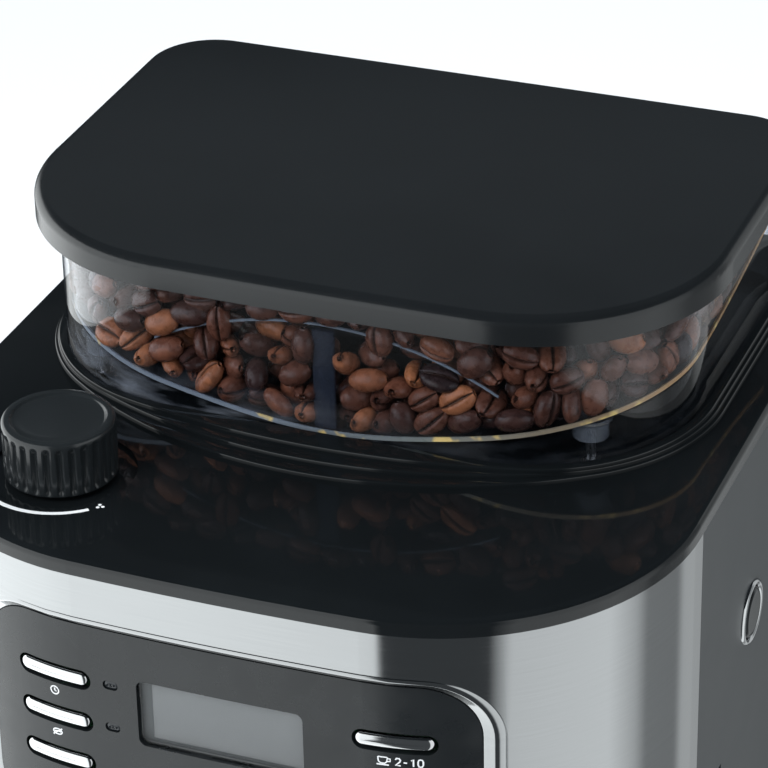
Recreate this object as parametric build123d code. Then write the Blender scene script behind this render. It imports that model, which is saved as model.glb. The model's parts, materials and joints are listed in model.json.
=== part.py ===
"""Filter coffee maker with a built-in conical burr grinder, in millimetres.

X points right, -Y is the front and +Z is up. The origin is on the surface that the feet stand on,
below the middle of the body.
"""

import os
from math import acos, atan2, cos, pi, radians, sin, sqrt, tan

from build123d import *

# ---- body outline -------------------------------------------------------------------------
BODY_HALF = 120.0
BODY_FRONT = -131.0
BODY_BACK = 131.0
BODY_BOW_R = 1082.0
BODY_CORNER_R = 78.8
BODY_BACK_R = 16.0

# ---- lid and hopper outline ---------------------------------------------------------------
LID_HALF = 110.5
LID_FRONT = -54.3
LID_BACK = 102.4
LID_BOW_R = 2600.0
LID_CORNER_R = 61.6
LID_BACK_R = 22.0

# ---- heights ------------------------------------------------------------------------------
FOOT_TOP = 3.5
BASE_BOTTOM = 6.0
BASE_TOP = 46.0
BASKET_BOTTOM = 193.0
BASKET_TOP = 254.5
HEAD_BOTTOM = 256.0
STEEL_TOP = 358.7
DECK_BOTTOM = 361.0
DECK = 364.0
WALL_TOP = 418.4
LID_BOTTOM = 411.7
LID_TOP = 420.7

# ---- wall thicknesses and gaps ------------------------------------------------------------
SKIN = 1.5
STEEL_T = 1.0
PLASTIC_T = 2.5
RUNNING = 0.05
GLASS_T = 2.2

# ---- places -------------------------------------------------------------------------------
SEAM_Y = -43.5
BAY_Y = -16.5
COLUMN_Y = 40.0
BREW_Y = -22.0
KNOB_X = -66.5
KNOB_Y = -86.0
HINGE_X = -112.5
HINGE_Y = -26.0

# ---- grinder gears ------------------------------------------------------------------------
PRESSURE = radians(25)
ADJUST_MODULE = 1.5
KNOB_TEETH = 20
ADJUST_IDLER_TEETH = 27
RING_TEETH = 61
DRIVE_MODULE = 1.0
MOTOR_TEETH = 12
REDUCTION_TEETH = 44
REDUCTION_PINION_TEETH = 14
BURR_TEETH = 44
KNOB_TO_IDLER = ADJUST_MODULE * (KNOB_TEETH + ADJUST_IDLER_TEETH) / 2
IDLER_TO_RING = ADJUST_MODULE * (ADJUST_IDLER_TEETH + RING_TEETH) / 2
KNOB_TO_BURR = KNOB_TO_IDLER + IDLER_TO_RING
BURR_Y = KNOB_Y + sqrt(KNOB_TO_BURR**2 - KNOB_X**2)
KNOB_LINE = atan2(BURR_Y - KNOB_Y, -KNOB_X)
REDUCTION_Y = BURR_Y + DRIVE_MODULE * (BURR_TEETH + REDUCTION_PINION_TEETH) / 2
MOTOR_Y = REDUCTION_Y + DRIVE_MODULE * (REDUCTION_TEETH + MOTOR_TEETH) / 2
GEAR_A_Z = 262.0
GEAR_B_Z = 270.0
PLATE_Z = 281.0
CHAMBER_Z = 284.0
CHAMBER_TOP = 349.7

# ---- hopper floor: a shallow funnel around the burr inlet ---------------------------------
FUNNEL_SLOPE = 0.265
FUNNEL_T = 2.0
FUNNEL_REACH = 170.0
BOSS_LOW = DECK + 9.0
BOSS_R = 5.0
SCREW_R = 1.5
BEANS_TOP = DECK + 44.0
FUNNEL_Z_AT_37 = DECK + 4.6
NECK_R = 24.0

# ---- control panel ------------------------------------------------------------------------
PANEL_HALF = 77.0
PANEL_TOP = 339.5
PANEL_BOTTOM = 261.5
PANEL_R = 17.0
FRAME_SIDE = 7.0
FRAME_TOP = 4.2
BUTTON_X = 53.2
BUTTON_W = 23.4
BUTTON_H = 5.4
BUTTON_TOP_Z = 320.2
BUTTON_PITCH = 14.7
LENS_X = -34.4
PANEL_INSET = 3.6
BUTTON_INSET = 2.7
LENS_INSET = 3.8
WINDOW_INSET = 4.6
BOARD_FRONT = -113.0
DISPLAY_W = 52.0
DISPLAY_TOP = 324.4
DISPLAY_BOTTOM = 302.0
RELEASE_Y = 12.0
RELEASE_Z = 294.4
RELEASE_R = 8.4
RELEASE_BORE = 8.7
RELEASE_SLEEVE = 9.5
RELEASE_LIP = 10.8
FLAP_AXIS_Y = 123.3
FLAP_AXIS_Z = 362.5

# ---- grinder ------------------------------------------------------------------------------
KNOB_R = 17.0
KNOB_LOW = DECK + 0.4
KNOB_TOP = DECK + 18.5
KNOB_DISH_R = 12.6
KNOB_FLUTES = 28
KNOB_RECESS_R = 22.5
KNOB_SHAFT_R = 4.0
GEAR_PIN_R = 3.0
ADJUST_Z = 343.0
ADJUST_H = 6.0
CHAMBER_R = 36.0
BURR_LOW = 328.0
RING_BURR_TOP = 344.0
CONE_TOP = 346.0
BURR_HIGH = 350.0
RING_BURR_R = 29.0
CHAMBER_BORE_R = 32.6
SHAFT_R = 4.0
MOTOR_SHAFT_R = 3.0

# ---- hopper guard, brew parts and carafe --------------------------------------------------
GUARD_FRONT = -42.0
GUARD_BACK = -6.0
GUARD_HALF = 55.0
GUARD_CROWN = DECK + 38.5
GUARD_RISE = 14.0
GUARD_T = 1.8
HEAD_FLOOR_TOP = HEAD_BOTTOM + PLASTIC_T
RISER_IN = (92, 66)
RISER_OUT = (44, -6)
VALVE_R = 4.5
CARAFE_LOW = BASE_TOP + 0.8
CARAFE_LID_TOP = 190.0
DRIP_HOLE_R = 14.0
HINGE_PIN_R = 2.5

# ---- back and base ------------------------------------------------------------------------
LEVEL_X = -79.0
LEVEL_W = 10.0
LEVEL_LOW = 90.0
LEVEL_HIGH = 240.0
TANK_HALF = 80.0
TANK_FRONT = 84.0
TANK_BACK = 124.0
TANK_TOP = 350.0
GLAND_X = 72.0
GLAND_Z = 25.0
GLAND_R = 6.0
HOTPLATE_R = 64.5


# ---- helpers ------------------------------------------------------------------------------
def rounded_plan(half, front, back, bow_r, front_r, back_r):
    """Plan outline with a bowed front, large front corners and small back corners."""
    corner_x = half - front_r
    corner_y = front + bow_r - sqrt((bow_r - front_r) ** 2 - corner_x**2)
    reach = bow_r / (bow_r - front_r)
    meet_x = corner_x * reach
    meet_y = front + bow_r + (corner_y - front - bow_r) * reach
    middle = (atan2(meet_y - corner_y, meet_x - corner_x)) / 2
    mid_x = corner_x + front_r * cos(middle)
    mid_y = corner_y + front_r * sin(middle)
    back_x = half - back_r
    back_y = back - back_r
    diag = back_r * cos(pi / 4)
    edges = [
        ThreePointArc((-meet_x, meet_y), (0, front), (meet_x, meet_y)),
        ThreePointArc((meet_x, meet_y), (mid_x, mid_y), (half, corner_y)),
        Line((half, corner_y), (half, back_y)),
        ThreePointArc((half, back_y), (back_x + diag, back_y + diag), (back_x, back)),
        Line((back_x, back), (-back_x, back)),
        ThreePointArc((-back_x, back), (-back_x - diag, back_y + diag), (-half, back_y)),
        Line((-half, back_y), (-half, corner_y)),
        ThreePointArc((-half, corner_y), (-mid_x, mid_y), (-meet_x, meet_y)),
    ]
    return make_face(Curve() + edges)


def body_slab(inset, low, high):
    """Everything inside the body outline, pulled in by inset, from z low to high."""
    plan = rounded_plan(
        BODY_HALF - inset,
        BODY_FRONT + inset,
        BODY_BACK - inset,
        BODY_BOW_R - inset,
        BODY_CORNER_R - inset,
        max(BODY_BACK_R - inset, 1.0),
    )
    return extrude(Pos(0, 0, low) * plan, high - low)


def lid_slab(inset, low, high):
    """Everything inside the lid outline, pulled in by inset, from z low to high."""
    plan = rounded_plan(
        LID_HALF - inset,
        LID_FRONT + inset,
        LID_BACK - inset,
        LID_BOW_R - inset,
        LID_CORNER_R - inset,
        LID_BACK_R - inset,
    )
    return extrude(Pos(0, 0, low) * plan, high - low)


def body_band(outer, inner, low, high):
    return body_slab(outer, low, high) - body_slab(inner, low - 1, high + 1)


def lid_band(outer, inner, low, high):
    return lid_slab(outer, low, high) - lid_slab(inner, low - 1, high + 1)


def block(x0, x1, y0, y1, z0, z1):
    return Pos((x0 + x1) / 2, (y0 + y1) / 2, (z0 + z1) / 2) * Box(x1 - x0, y1 - y0, z1 - z0)


def post(x, y, radius, z0, z1):
    return Pos(x, y, (z0 + z1) / 2) * Cylinder(radius, z1 - z0)


def pipe(x, y, outer, inner, z0, z1):
    return post(x, y, outer, z0, z1) - post(x, y, inner, z0 - 1, z1 + 1)


def window_prism(half_w, low, high, radius, x=0.0):
    """A rounded rectangle in the front view, run through the body's front from y -140 to -100."""
    shape = RectangleRounded(2 * half_w, high - low, radius)
    return extrude(Plane((x, -140, (low + high) / 2), x_dir=(1, 0, 0), z_dir=(0, 1, 0)) * shape, 40)


def tooth_outline(teeth, module):
    """Points of one involute tooth about angle 0, as (radius, angle)."""
    pitch_r = teeth * module / 2
    base_r = pitch_r * cos(PRESSURE)
    tip_r = pitch_r + 0.9 * module
    root_r = pitch_r - 1.25 * module
    backlash = 0.06 * module
    half_at_pitch = pi / (2 * teeth) - backlash / pitch_r
    involute = tan(PRESSURE) - PRESSURE
    start_r = max(base_r, root_r + 0.05)
    flank = []
    for step in range(5):
        radius = start_r + (tip_r - start_r) * step / 4
        turn = acos(base_r / radius)
        flank.append((radius, half_at_pitch + involute - (tan(turn) - turn)))
    foot = (root_r, flank[0][1])
    rising = [foot] + flank
    return [(r, -a) for r, a in rising] + [(r, a) for r, a in reversed(rising)]


def spur_gear(teeth, module, height, bore_r, tooth_angle):
    """Spur gear standing on z = 0 about the Z axis, with a tooth centred at tooth_angle (radians)."""
    points = []
    for i in range(teeth):
        centre = tooth_angle + 2 * pi * i / teeth
        points += [(r * cos(centre + a), r * sin(centre + a)) for r, a in tooth_outline(teeth, module)]
    gear = extrude(make_face(Polyline(*points, close=True)), height)
    if bore_r:
        gear -= Pos(0, 0, height / 2) * Cylinder(bore_r, height + 2)
    return gear


def funnel_z(radius):
    return FUNNEL_Z_AT_37 + FUNNEL_SLOPE * (radius - 37)


# ---- base ---------------------------------------------------------------------------------
def base_plate():
    plate = body_slab(SKIN, FOOT_TOP, BASE_BOTTOM)
    for x in (-60, 60):
        plate -= block(x - 20, x + 20, 40, 44, 0, 10)
        plate -= block(x - 20, x + 20, 50, 54, 0, 10)
    return plate


def rubber_feet():
    feet = []
    for x in (-88, 88):
        for y in (-92, 104):
            foot = post(x, y, 11, 0, FOOT_TOP)
            feet.append(fillet(foot.edges().group_by(Axis.Z)[0], 1.0))
    return Compound(feet)


def base_housing():
    shell = body_slab(SKIN, BASE_BOTTOM, BASE_TOP)
    shell = fillet(shell.edges().group_by(Axis.Z)[-1], 2.0)
    shell -= body_slab(SKIN + PLASTIC_T, BASE_BOTTOM - 1, BASE_TOP - PLASTIC_T)
    shell -= post(0, BREW_Y, HOTPLATE_R + 0.5, BASE_TOP - 10, BASE_TOP + 1)
    return shell - gland_disc(128, GLAND_R, 12)


def hotplate():
    plate = post(0, BREW_Y, HOTPLATE_R, BASE_TOP - 5, BASE_TOP + 0.5)
    plate = fillet(plate.edges().group_by(Axis.Z)[-1], 1.5)
    return plate + post(0, BREW_Y, HOTPLATE_R + 4.5, BASE_TOP - 5, BASE_TOP - PLASTIC_T)


def heating_element():
    """A tube bent to three quarters of a circle under the hotplate, with its two ends turned down."""
    ring_r = 45.0
    tube_r = 4.5
    tube_z = BASE_TOP - 5 - tube_r
    profile = Plane((ring_r, 0, 0), x_dir=(1, 0, 0), z_dir=(0, -1, 0)) * Circle(tube_r)
    arc = Rot(0, 0, 135) * revolve(profile, Axis.Z, 270)
    ends = [post(ring_r * cos(radians(a)), ring_r * sin(radians(a)), tube_r, -18, 0) for a in (135, 45)]
    return Pos(0, BREW_Y, tube_z) * (arc + ends[0] + ends[1])


def cord_gland():
    """The bush in the back of the base where the mains lead enters."""
    bush = gland_disc(127.4, GLAND_R, 6.0) + gland_disc(130.2, GLAND_R + 2.5, 1.4)
    return bush - gland_disc(128, 3.6, 12)


def gland_disc(y, radius, thickness):
    """A round slice on the cord gland's axis, centred at y."""
    return Pos(GLAND_X, y, GLAND_Z) * Rot(90, 0, 0) * Cylinder(radius, thickness)


# ---- column and casing --------------------------------------------------------------------
def side_profile():
    """Side view of a side panel: over the head, behind the swing-out basket and behind the carafe."""
    points = [
        (SEAM_Y + 0.2, STEEL_TOP),
        (SEAM_Y + 0.2, HEAD_BOTTOM),
        (BAY_Y, HEAD_BOTTOM),
        (BAY_Y, BASKET_BOTTOM),
        (COLUMN_Y, BASKET_BOTTOM),
        (COLUMN_Y, BASE_TOP),
        (115.0, BASE_TOP),
        (115.0, STEEL_TOP),
    ]
    face = make_face(Polyline(*points, close=True))
    corner = face.vertices().sort_by_distance((COLUMN_Y, BASKET_BOTTOM, 0))[0]
    return fillet(corner, 14.0)


def side_panel(side):
    outer = BODY_HALF - SKIN
    profile = Plane((0, 0, 0), x_dir=(0, 1, 0), z_dir=(1, 0, 0)) * side_profile()
    plate = extrude(profile, PLASTIC_T)
    return Pos(outer - PLASTIC_T if side > 0 else -outer, 0, 0) * plate


def side_panel_left():
    return side_panel(-1)


def side_panel_right():
    bore = Pos(BODY_HALF, RELEASE_Y, RELEASE_Z) * Rot(0, 90, 0) * Cylinder(RELEASE_SLEEVE, 20)
    return side_panel(1) - bore


def column_wall():
    """The wall behind the carafe: two flat wings and a hollow that follows the carafe."""
    hollow_r = 74.0
    low, high = BASE_TOP, HEAD_BOTTOM
    inner_x = BODY_HALF - SKIN - PLASTIC_T
    region = block(-inner_x, inner_x, COLUMN_Y, COLUMN_Y + 16, low, high)
    outer = post(0, BREW_Y, hollow_r + PLASTIC_T, low, high)
    wings = region & block(-inner_x, inner_x, COLUMN_Y, COLUMN_Y + PLASTIC_T, low, high)
    wall = wings + (outer & region)
    return wall - post(0, BREW_Y, hollow_r, low - 1, high + 1)


def back_cover():
    cover = body_band(SKIN, SKIN + PLASTIC_T, BASE_TOP, STEEL_TOP)
    cover &= block(-BODY_HALF, BODY_HALF, 115.0, BODY_BACK, 0, DECK)
    for row in range(7):
        z = 270 + 9 * row
        cover -= block(-34, 34, 120, 135, z, z + 4)
    return cover - level_slot(120, 135)


def level_slot(front, back):
    half = LEVEL_W / 2
    return block(LEVEL_X - half, LEVEL_X + half, front, back, LEVEL_LOW, LEVEL_HIGH)


def level_window():
    """Clear strip in the back cover that shows the water level."""
    back = BODY_BACK - SKIN
    return level_slot(back - PLASTIC_T, back)


def front_shell():
    shell = body_band(SKIN, SKIN + STEEL_T, HEAD_BOTTOM, STEEL_TOP)
    shell &= block(-BODY_HALF, BODY_HALF, BODY_FRONT, SEAM_Y, 0, DECK)
    return shell - frame_prism()


def frame_prism():
    half = PANEL_HALF + FRAME_SIDE
    return window_prism(half, HEAD_BOTTOM + 1.0, PANEL_TOP + FRAME_TOP, PANEL_R + 4.5)


def panel_prism():
    return window_prism(PANEL_HALF, PANEL_BOTTOM, PANEL_TOP, PANEL_R)


def panel_frame():
    """Pressed steel surround of the control panel."""
    band = body_band(SKIN, SKIN + PLASTIC_T, HEAD_BOTTOM, STEEL_TOP)
    return (band & frame_prism()) - panel_prism()


def button_places():
    """(name, x, z) of every button on the control panel."""
    left = ("program", "grind_off", "hour", "minute")
    right = ("cups", "strength", "keep_warm", "on_off")
    places = []
    for row in range(4):
        z = BUTTON_TOP_Z - BUTTON_PITCH * row
        places.append((left[row], -BUTTON_X, z))
        places.append((right[row], BUTTON_X, z))
    return places


def button_prism(x, z, grow):
    half_h = BUTTON_H / 2 + grow
    return window_prism(BUTTON_W / 2 + grow, z - half_h, z + half_h, half_h - 0.05, x)


def led_prism(row):
    z = BUTTON_TOP_Z - BUTTON_PITCH * row + 0.4
    return window_prism(2.4, z - 1.5, z + 1.5, 1.4, LENS_X)


def display_prism(grow):
    half = DISPLAY_W / 2 + grow
    return window_prism(half, DISPLAY_BOTTOM - grow, DISPLAY_TOP + grow, 2.5 + grow)


def control_panel():
    panel = body_band(PANEL_INSET, PANEL_INSET + 2.6, HEAD_BOTTOM, STEEL_TOP) & panel_prism()
    for _, x, z in button_places():
        panel -= button_prism(x, z, 0.7)
    for row in (0, 1):
        panel -= led_prism(row)
    return panel - display_prism(0)


def panel_button(x, z):
    return body_band(BUTTON_INSET, 8.0, HEAD_BOTTOM, STEEL_TOP) & button_prism(x, z, 0)


def indicator_lenses():
    band = body_band(LENS_INSET, PANEL_INSET + 2.6, HEAD_BOTTOM, STEEL_TOP)
    return Compound([(band & led_prism(row)).solid() for row in (0, 1)])


def display_window():
    return body_band(WINDOW_INSET, WINDOW_INSET + 1.0, HEAD_BOTTOM, STEEL_TOP) & display_prism(0)


def display_module():
    half = DISPLAY_W / 2 + 2
    return block(-half, half, -124.0, BOARD_FRONT, DISPLAY_BOTTOM - 2, DISPLAY_TOP + 2)


def control_board():
    """Circuit board with one push switch behind each button."""
    board = block(-70, 70, BOARD_FRONT, BOARD_FRONT + 1.6, 262, 336)
    for x in (-64, 64):
        for z in (267, 331):
            board -= Pos(x, -112, z) * Rot(90, 0, 0) * Cylinder(1.6, 6)
    for _, x, z in button_places():
        board += block(x - 3, x + 3, -119.2, BOARD_FRONT, z - 2.6, z + 2.6)
    return board


def release_disc(x, radius, thickness):
    """A round slice on the release button's axis, centred at x."""
    return Pos(x, RELEASE_Y, RELEASE_Z) * Rot(0, 90, 0) * Cylinder(radius, thickness)


def release_bezel():
    """Chrome ring around the side release button."""
    sleeve = release_disc(116.95, RELEASE_SLEEVE, 3.3)
    lip = release_disc(119.05, RELEASE_LIP, 1.1)
    return sleeve + lip - release_disc(118.0, RELEASE_BORE, 8.0)


def release_button():
    stem = release_disc(112.0, RELEASE_R, 15.6)
    stem = fillet(stem.edges().group_by(Axis.X)[-1], 2.0)
    return stem - release_disc(107.0, RELEASE_R - 2, 16)


# ---- deck and hopper ----------------------------------------------------------------------
def top_deck():
    deck = body_slab(0, STEEL_TOP, DECK)
    deck = fillet(deck.edges().group_by(Axis.Z)[-1], 2.2)
    deck -= body_slab(5.0, STEEL_TOP - 1, DECK_BOTTOM)
    deck -= post(0, BURR_Y, NECK_R + 4, DECK_BOTTOM - 1, DECK + 1)
    deck -= post(KNOB_X, KNOB_Y, KNOB_RECESS_R, DECK - 1.2, DECK + 1)
    deck -= post(KNOB_X, KNOB_Y, KNOB_SHAFT_R + RUNNING, DECK_BOTTOM - 1, DECK + 1)
    deck -= block(-62, 62, 105, 125.1, DECK_BOTTOM - 1, DECK + 1)
    deck -= Pos(0, FLAP_AXIS_Y, FLAP_AXIS_Z) * Rot(0, 90, 0) * Cylinder(1.0 + RUNNING, 128)
    idler_x = KNOB_X + KNOB_TO_IDLER * cos(KNOB_LINE)
    idler_y = KNOB_Y + KNOB_TO_IDLER * sin(KNOB_LINE)
    return deck + post(idler_x, idler_y, GEAR_PIN_R, ADJUST_Z - 2.0, DECK_BOTTOM)


def tank_flap():
    """Flap in the deck over the water tank, with a pin at each end of its back edge."""
    flap = block(-61.7, 61.7, 105.3, FLAP_AXIS_Y, DECK_BOTTOM, DECK)
    flap += Pos(0, FLAP_AXIS_Y, FLAP_AXIS_Z) * Rot(0, 90, 0) * Cylinder(1.5, 123.4)
    flap += Pos(0, FLAP_AXIS_Y, FLAP_AXIS_Z) * Rot(0, 90, 0) * Cylinder(1.0, 127.2)
    return flap - post(0, 103.5, 9, DECK - 1.2, DECK + 1)


def ring_step(half, front, bow_r, corner_r, low, high):
    plan = rounded_plan(half, front, 99.5, bow_r, corner_r, 19.0)
    return extrude(Pos(0, 0, low) * plan, high - low)


def hopper_surround():
    """Stepped collar on the deck around the hopper's foot."""
    collar = ring_step(108.5, -66.0, 140.0, 60.0, DECK, DECK + 1.6)
    collar += ring_step(107.3, -60.5, 165.0, 58.0, DECK, DECK + 3.0)
    collar += ring_step(106.2, -55.0, 260.0, 57.0, DECK, DECK + 4.4)
    collar -= lid_slab(7.2, DECK - 1, DECK + 10)
    return collar


def about_burr(profile):
    """A profile turned about the burr axis; its seam faces the front wall, where it cuts cleanly."""
    return Pos(0, BURR_Y, 0) * Rot(0, 0, -60) * revolve(Plane.XZ * profile, Axis.Z, 360)


def hopper():
    """Clear bin: upright walls, a funnel floor inside them and a neck into the burr housing."""
    wall = lid_band(7.2, 9.2, DECK, WALL_TOP)
    slope = make_face(
        Polyline(
            (NECK_R, funnel_z(NECK_R)),
            (FUNNEL_REACH, funnel_z(FUNNEL_REACH)),
            (FUNNEL_REACH, funnel_z(FUNNEL_REACH) - FUNNEL_T),
            (NECK_R, funnel_z(NECK_R) - FUNNEL_T),
            close=True,
        )
    )
    floor = about_burr(slope) & lid_slab(8.6, DECK - 10, WALL_TOP - 5)
    neck = pipe(0, BURR_Y, NECK_R + 2, NECK_R, 354.5, funnel_z(NECK_R))
    hopper_solid = wall + floor + neck
    for boss in hopper_bosses():
        hopper_solid += boss
    return hopper_solid


def boss_places():
    return [(-79.0, -28.6), (79.0, -28.6)]


def above_funnel(raise_z):
    """Everything above the funnel floor's upper face, once that face is raised by raise_z."""
    top = WALL_TOP
    region = make_face(
        Polyline(
            (0, funnel_z(0) + raise_z),
            (FUNNEL_REACH, funnel_z(FUNNEL_REACH) + raise_z),
            (FUNNEL_REACH, top + 5),
            (0, top + 5),
            close=True,
        )
    )
    return about_burr(region)


def hopper_bosses():
    """Screw bosses that hang below the funnel floor, each with a blind screw hole."""
    bosses = []
    for x, y in boss_places():
        boss = post(x, y, BOSS_R, BOSS_LOW, BOSS_LOW + 12) - above_funnel(-FUNNEL_T / 2)
        bosses.append(boss - post(x, y, SCREW_R + 0.1, DECK, BOSS_LOW + 1))
    return bosses


def hopper_screws():
    """The two screws that rise from the deck into the side bosses."""
    screws = []
    for x, y in boss_places():
        shank = post(x, y, SCREW_R, DECK, BOSS_LOW + 0.9)
        screws.append(shank + post(x, y, 2 * SCREW_R, DECK, DECK + 1.8))
    return Compound(screws)


def guard_z(x):
    arch_r = (GUARD_HALF**2 + GUARD_RISE**2) / (2 * GUARD_RISE)
    return GUARD_CROWN - (arch_r - sqrt(arch_r**2 - x**2))


def bean_guard():
    """Clear arched roof over the burr inlet, on a front post and two back legs."""
    edge = guard_z(GUARD_HALF)
    under = edge - GUARD_T
    arch = make_face(
        Curve()
        + [
            ThreePointArc((-GUARD_HALF, edge), (0, GUARD_CROWN), (GUARD_HALF, edge)),
            Line((GUARD_HALF, edge), (GUARD_HALF, under)),
            ThreePointArc((GUARD_HALF, under), (0, GUARD_CROWN - GUARD_T), (-GUARD_HALF, under)),
            Line((-GUARD_HALF, under), (-GUARD_HALF, edge)),
        ]
    )
    front_plane = Plane((0, GUARD_FRONT, 0), x_dir=(1, 0, 0), z_dir=(0, -1, 0))
    roof = extrude(front_plane * arch, GUARD_FRONT - GUARD_BACK)
    foot_z = funnel_z(BURR_Y - GUARD_FRONT) + 0.2
    guard = roof + block(-3.0, 3.0, GUARD_FRONT, GUARD_FRONT + 4.5, foot_z, GUARD_CROWN - 1)
    for x in (-50.0, 50.0):
        leg_foot = funnel_z(sqrt(50.0**2 + (BURR_Y - GUARD_BACK + 3) ** 2)) + 0.8
        guard += block(x - 2, x + 2, GUARD_BACK - 4, GUARD_BACK, leg_foot, guard_z(50.0) - 1)
    return guard


def coffee_beans():
    """The space that the beans fill, as one plain solid."""
    beans = lid_slab(9.8, DECK + 1.5, BEANS_TOP) & above_funnel(0.5)
    return beans - block(-57.5, 57.5, -60, GUARD_BACK + 1.5, DECK, GUARD_CROWN + 1.2)


def hopper_lid():
    lid = lid_slab(0, LID_BOTTOM, LID_TOP)
    lid = fillet(lid.edges().group_by(Axis.Z)[-1], 3.2)
    lid -= lid_slab(2.2, LID_BOTTOM - 1, LID_TOP - 2)
    return lid + lid_band(9.6, 11.2, LID_BOTTOM + 1.5, LID_TOP - 1.5)


# ---- grind setting ------------------------------------------------------------------------
def grind_knob():
    """Fluted knob with a dished top, on a shaft through the deck."""
    body = post(0, 0, KNOB_R, KNOB_LOW, KNOB_TOP)
    body = fillet(body.edges().group_by(Axis.Z)[-1], 1.6)
    body -= post(0, 0, KNOB_DISH_R, KNOB_TOP - 0.9, KNOB_TOP + 1)
    for i in range(KNOB_FLUTES):
        angle = 2 * pi * i / KNOB_FLUTES
        x, y = (KNOB_R + 1.0) * cos(angle), (KNOB_R + 1.0) * sin(angle)
        body -= post(x, y, 1.75, KNOB_LOW - 1, KNOB_TOP - 1.9)
    return Pos(KNOB_X, KNOB_Y, 0) * (body + post(0, 0, KNOB_SHAFT_R, ADJUST_Z - 1.5, KNOB_LOW))


def knob_gear():
    gear = spur_gear(KNOB_TEETH, ADJUST_MODULE, ADJUST_H, KNOB_SHAFT_R, KNOB_LINE)
    return Pos(KNOB_X, KNOB_Y, ADJUST_Z) * gear


def adjust_idler():
    """Gear between the knob and the burr ring; its tooth count is odd, so it meets both in mesh."""
    tooth = KNOB_LINE + pi + pi / ADJUST_IDLER_TEETH
    gear = spur_gear(ADJUST_IDLER_TEETH, ADJUST_MODULE, ADJUST_H, GEAR_PIN_R + RUNNING, tooth)
    x = KNOB_X + KNOB_TO_IDLER * cos(KNOB_LINE)
    y = KNOB_Y + KNOB_TO_IDLER * sin(KNOB_LINE)
    return Pos(x, y, ADJUST_Z) * gear


def adjust_ring():
    """Toothed carrier that turns on the grinder housing and holds the outer burr."""
    tooth = KNOB_LINE + pi + pi / RING_TEETH
    gear = spur_gear(RING_TEETH, ADJUST_MODULE, ADJUST_H, CHAMBER_R + RUNNING, tooth)
    cap_z = CHAMBER_TOP + 0.3
    carrier = Pos(0, 0, ADJUST_Z) * gear
    carrier += pipe(0, 0, 43.5, CHAMBER_R + RUNNING, ADJUST_Z + ADJUST_H, cap_z + 2.5)
    carrier += pipe(0, 0, 43.5, 27.0, cap_z, cap_z + 2.5)
    carrier += pipe(0, 0, 32.0, RING_BURR_R, 334.0, cap_z)
    return Pos(0, BURR_Y, 0) * carrier


def burr_teeth(count, twist, base_r, top_r, low, high, depth):
    """Straight cutting grooves laid along a cone, as solids to cut away."""
    grooves = []
    for i in range(count):
        a0 = 2 * pi * i / count
        a1 = a0 + twist
        start = Vector(base_r * cos(a0), base_r * sin(a0), low)
        end = Vector(top_r * cos(a1), top_r * sin(a1), high)
        along = end - start
        plane = Plane(start - along * 0.1, x_dir=(-sin(a0), cos(a0), 0), z_dir=along)
        section = plane * Rectangle(depth * 1.6, depth * 1.6, align=Align.CENTER)
        grooves.append(extrude(section, along.length * 1.2))
    return grooves


def ring_burr():
    """Outer steel burr: a hard ring with a toothed cone inside."""
    profile = make_face(
        Polyline(
            (23.4, BURR_LOW),
            (RING_BURR_R, BURR_LOW),
            (RING_BURR_R, RING_BURR_TOP),
            (18.5, RING_BURR_TOP),
            close=True,
        )
    )
    ring = revolve(Plane.XZ * profile, Axis.Z, 360)
    for groove in burr_teeth(30, 0.35, 23.6, 18.7, BURR_LOW, RING_BURR_TOP, 1.0):
        ring -= groove
    return Pos(0, BURR_Y, 0) * ring


def cone_burr():
    """Inner steel burr on the burr shaft, with a few coarse feed blades on top."""
    profile = make_face(
        Polyline(
            (SHAFT_R, BURR_LOW),
            (21.4, BURR_LOW),
            (14.0, CONE_TOP),
            (6.5, BURR_HIGH),
            (SHAFT_R, BURR_HIGH),
            close=True,
        )
    )
    cone = revolve(Plane.XZ * profile, Axis.Z, 360)
    for groove in burr_teeth(24, 0.4, 21.6, 14.2, BURR_LOW, CONE_TOP, 1.0):
        cone -= groove
    return Pos(0, BURR_Y, 0) * cone


def burr_shaft():
    """Drive shaft with its gear, the sweeper that throws the grounds out, and a nut on top."""
    gear = spur_gear(BURR_TEETH, DRIVE_MODULE, 8.0, 0, pi / 2)
    shaft = post(0, 0, SHAFT_R, 259.0, 351.0)
    sweeper = post(0, 0, 20.0, 321.0, BURR_LOW)
    for i in range(4):
        sweeper += Rot(0, 0, 90 * i) * block(0, 31.0, -1.5, 1.5, 301.0, 327.0)
    sweeper += post(0, 0, 9.0, 301.0, 321.0)
    nut = extrude(Pos(0, 0, 351.0) * RegularPolygon(7.0, 6), 4.0)
    return Pos(0, BURR_Y, 0) * (shaft + Pos(0, 0, GEAR_B_Z) * gear + sweeper + nut)


def reduction_gear():
    """Compound gear: a large wheel driven by the motor and a small one that drives the burr shaft."""
    small_tooth = -pi / 2 + pi / REDUCTION_PINION_TEETH
    wheel = spur_gear(REDUCTION_TEETH, DRIVE_MODULE, 6.0, GEAR_PIN_R + RUNNING, pi / 2)
    pinion = spur_gear(REDUCTION_PINION_TEETH, DRIVE_MODULE, 10.0, GEAR_PIN_R + RUNNING, small_tooth)
    return Pos(0, REDUCTION_Y, GEAR_A_Z) * (wheel + Pos(0, 0, 6.0) * pinion)


def motor_pinion():
    """Motor shaft with its pinion."""
    tooth = -pi / 2 + pi / MOTOR_TEETH
    pinion = spur_gear(MOTOR_TEETH, DRIVE_MODULE, 6.0, 0, tooth)
    return Pos(0, MOTOR_Y, GEAR_A_Z) * (pinion + post(0, 0, MOTOR_SHAFT_R, 0, 36))


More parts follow.
